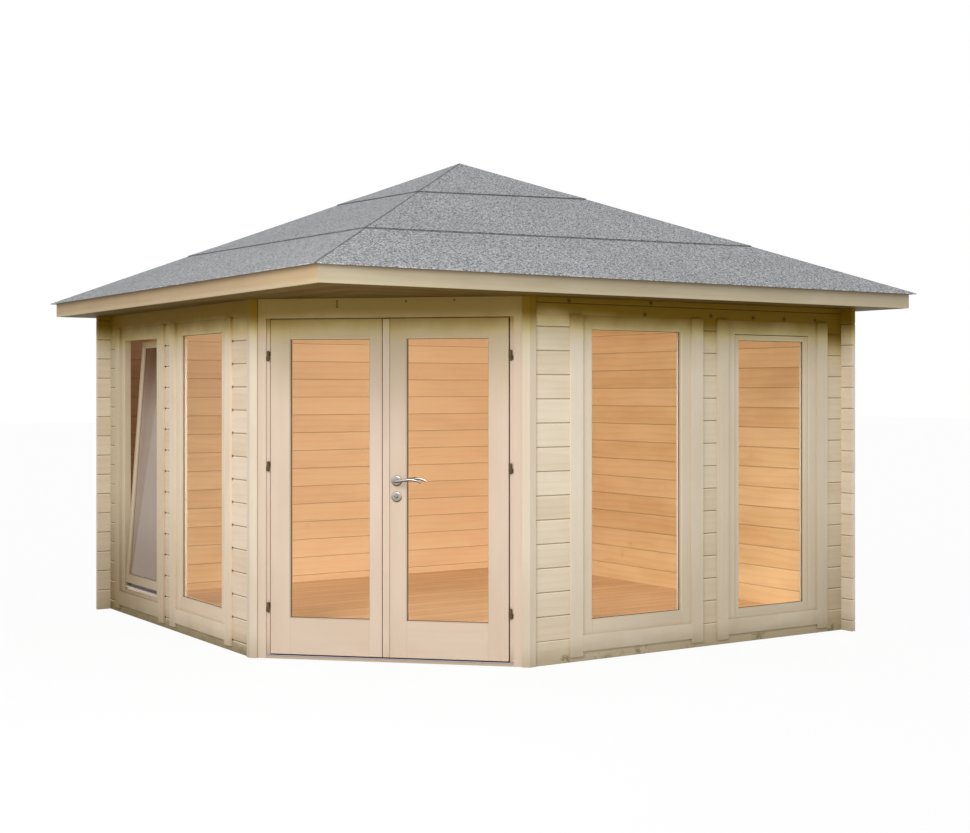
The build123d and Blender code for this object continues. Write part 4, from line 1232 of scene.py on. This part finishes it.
frame_buttons = [button(sign * hinge_u, z, -1) for sign in (-1, 1) for z in bottoms]
surface("hinge_buttons_frame", frame_buttons, bronze, "cabin")
for sign, side in ((-1, "left"), (1, "right")):
    buttons = [button(sign * hinge_u, z, 1) for z in tops]
    surface(f"hinge_buttons_{side}", buttons, bronze, f"leaf_{side}")

# %% Threshold screws
SCREW_RADIUS, SCREW_DOME, SCREW_SUNK = 0.0045, 0.0009, 0.0006
CROSS_HALF, CROSS_REACH, CROSS_DEPTH = 0.0007, 0.0030, 0.0006
strip_low, strip_high = extent("threshold_strip", CORNER)
strip_w = -(strip_low[1] + strip_high[1]) / 2 - leaf_face


def screw_head(u):
    """A low dome with a cross: points within CROSS_HALF of either line dip by CROSS_DEPTH."""
    r = np.linspace(SCREW_RADIUS, 0.0004, 9)
    a, b = r[:, None] * np.cos(angles), r[:, None] * np.sin(angles)
    dip = ((np.abs(a) < CROSS_HALF) | (np.abs(b) < CROSS_HALF)) & (r[:, None] < CROSS_REACH)
    h = SCREW_DOME * (1 - (r[:, None] / SCREW_RADIUS) ** 2) - CROSS_DEPTH * dip
    top = np.stack([u + a, strip_w + b, strip_high[2] + h], -1)
    foot = top[:1].copy()
    foot[..., 2] = strip_high[2] - SCREW_SUNK
    return capped(on_door(np.concatenate([foot, top])))


screws = [screw_head(u) for u in (-0.52, -0.18, 0.18, 0.52)]
surface("threshold_screws", screws, strip, "cabin")

# %% [markdown]
# ## Camera, floor and light
# The camera stands where the photograph's stood: its place, turn, focal length and shift
# come from the lines of the cabin itself. It is level, so upright lines stay upright, and a
# small shift puts the horizon where it was. A white sky lights the cabin evenly from all
# sides, a large lamp before the doors gives the fall of light towards the far ends of both
# walls, and a lamp in the room stands for the light that comes in at the glass.

# %% Camera
frame_w, frame_h = 970, 833
focal_px, middle_x, horizon_y = 1534.3, 526.4, 392.2
camera_turn = 33.991
camera_data = bpy.data.cameras.new("view_camera")
camera_data.sensor_width = 36.0
camera_data.lens = focal_px / frame_w * camera_data.sensor_width
camera_data.shift_x = -(middle_x - frame_w / 2) / frame_w
camera_data.shift_y = (horizon_y - frame_h / 2) / frame_w
camera = bpy.data.objects.new("view_camera", camera_data)
camera.location = (-4.8448, -7.9069, 1.3641)
camera.rotation_euler = (math.radians(90), 0, -math.radians(camera_turn))
bpy.context.scene.collection.objects.link(camera)
bpy.context.scene.camera = camera
shifts = [round(camera_data.shift_x, 4), round(camera_data.shift_y, 4)]
print("lens", round(camera_data.lens, 2), "shift", shifts)

# %% Floor
def seen_rays(tree):
    """1 for the rays by which the backdrop is seen: straight, in metal and through glass."""
    paths = add(tree, "LightPath").outputs
    bounced = larger(tree, paths["Is Glossy Ray"], paths["Is Transmission Ray"])
    return larger(tree, paths["Is Camera Ray"], bounced)


ground, tree, spot = blank_finish("pale_ground")
matt = add(tree, "BsdfPrincipled", {"Base Color": (0.95, 0.95, 0.95, 1.0), "Roughness": 0.9})
matt.inputs["Specular IOR Level"].default_value = 0.0
white = add(tree, "Emission", {"Color": (1, 1, 1, 1), "Strength": 1.0})
share = times(tree, seen_rays(tree), 0.93)
both = add(tree, "MixShader", {0: share, 1: matt.outputs[0], 2: white.outputs[0]})
tree.links.new(both.outputs[0], add(tree, "OutputMaterial").inputs[0])
floor_mesh = bpy.data.meshes.new("studio_floor")
reach = 60.0
corners = [(-reach, -reach, 0), (reach, -reach, 0), (reach, reach, 0), (-reach, reach, 0)]
floor_mesh.from_pydata(corners, [], [(0, 1, 2, 3)])
floor_mesh.materials.append(ground)
floor = bpy.data.objects.new("studio_floor", floor_mesh)
bpy.context.scene.collection.objects.link(floor)
print("floor", reach * 2, "m across")

# %% Lamps and world
world = bpy.data.worlds.new("studio_world")
bpy.context.scene.world = world
world.use_nodes = True
tree = world.node_tree
tree.nodes.clear()
sky_level = 0.58
strength = times_plus(tree, seen_rays(tree), 1 - sky_level, sky_level)
sky = add(tree, "Background", {"Color": (1, 1, 1, 1), "Strength": strength})
tree.links.new(sky.outputs[0], add(tree, "OutputWorld").inputs[0])


def lamp(name, kind, energy, location=(0, 0, 0), rotation=(0, 0, 0), **settings):
    """A lamp with its settings, turned by rotation in degrees."""
    data = bpy.data.lights.new(name, kind)
    data.energy = energy
    for key, value in settings.items():
        setattr(data, key, value)
    piece = bpy.data.objects.new(name, data)
    piece.location = location
    piece.rotation_euler = [math.radians(v) for v in rotation]
    bpy.context.scene.collection.objects.link(piece)
    return piece


lamp("key_lamp", "SUN", 0.9, rotation=(56, 0, -45), angle=math.radians(24))
lamp("door_lamp", "AREA", 46.0, (-3.5, -3.5, 1.9), (74, 0, -45), size=1.8).visible_glossy = False
lamp("room_lamp", "AREA", 9.0, (0.2, 0.2, 1.80), size=1.6)
bpy.context.scene.view_settings.view_transform = "Standard"
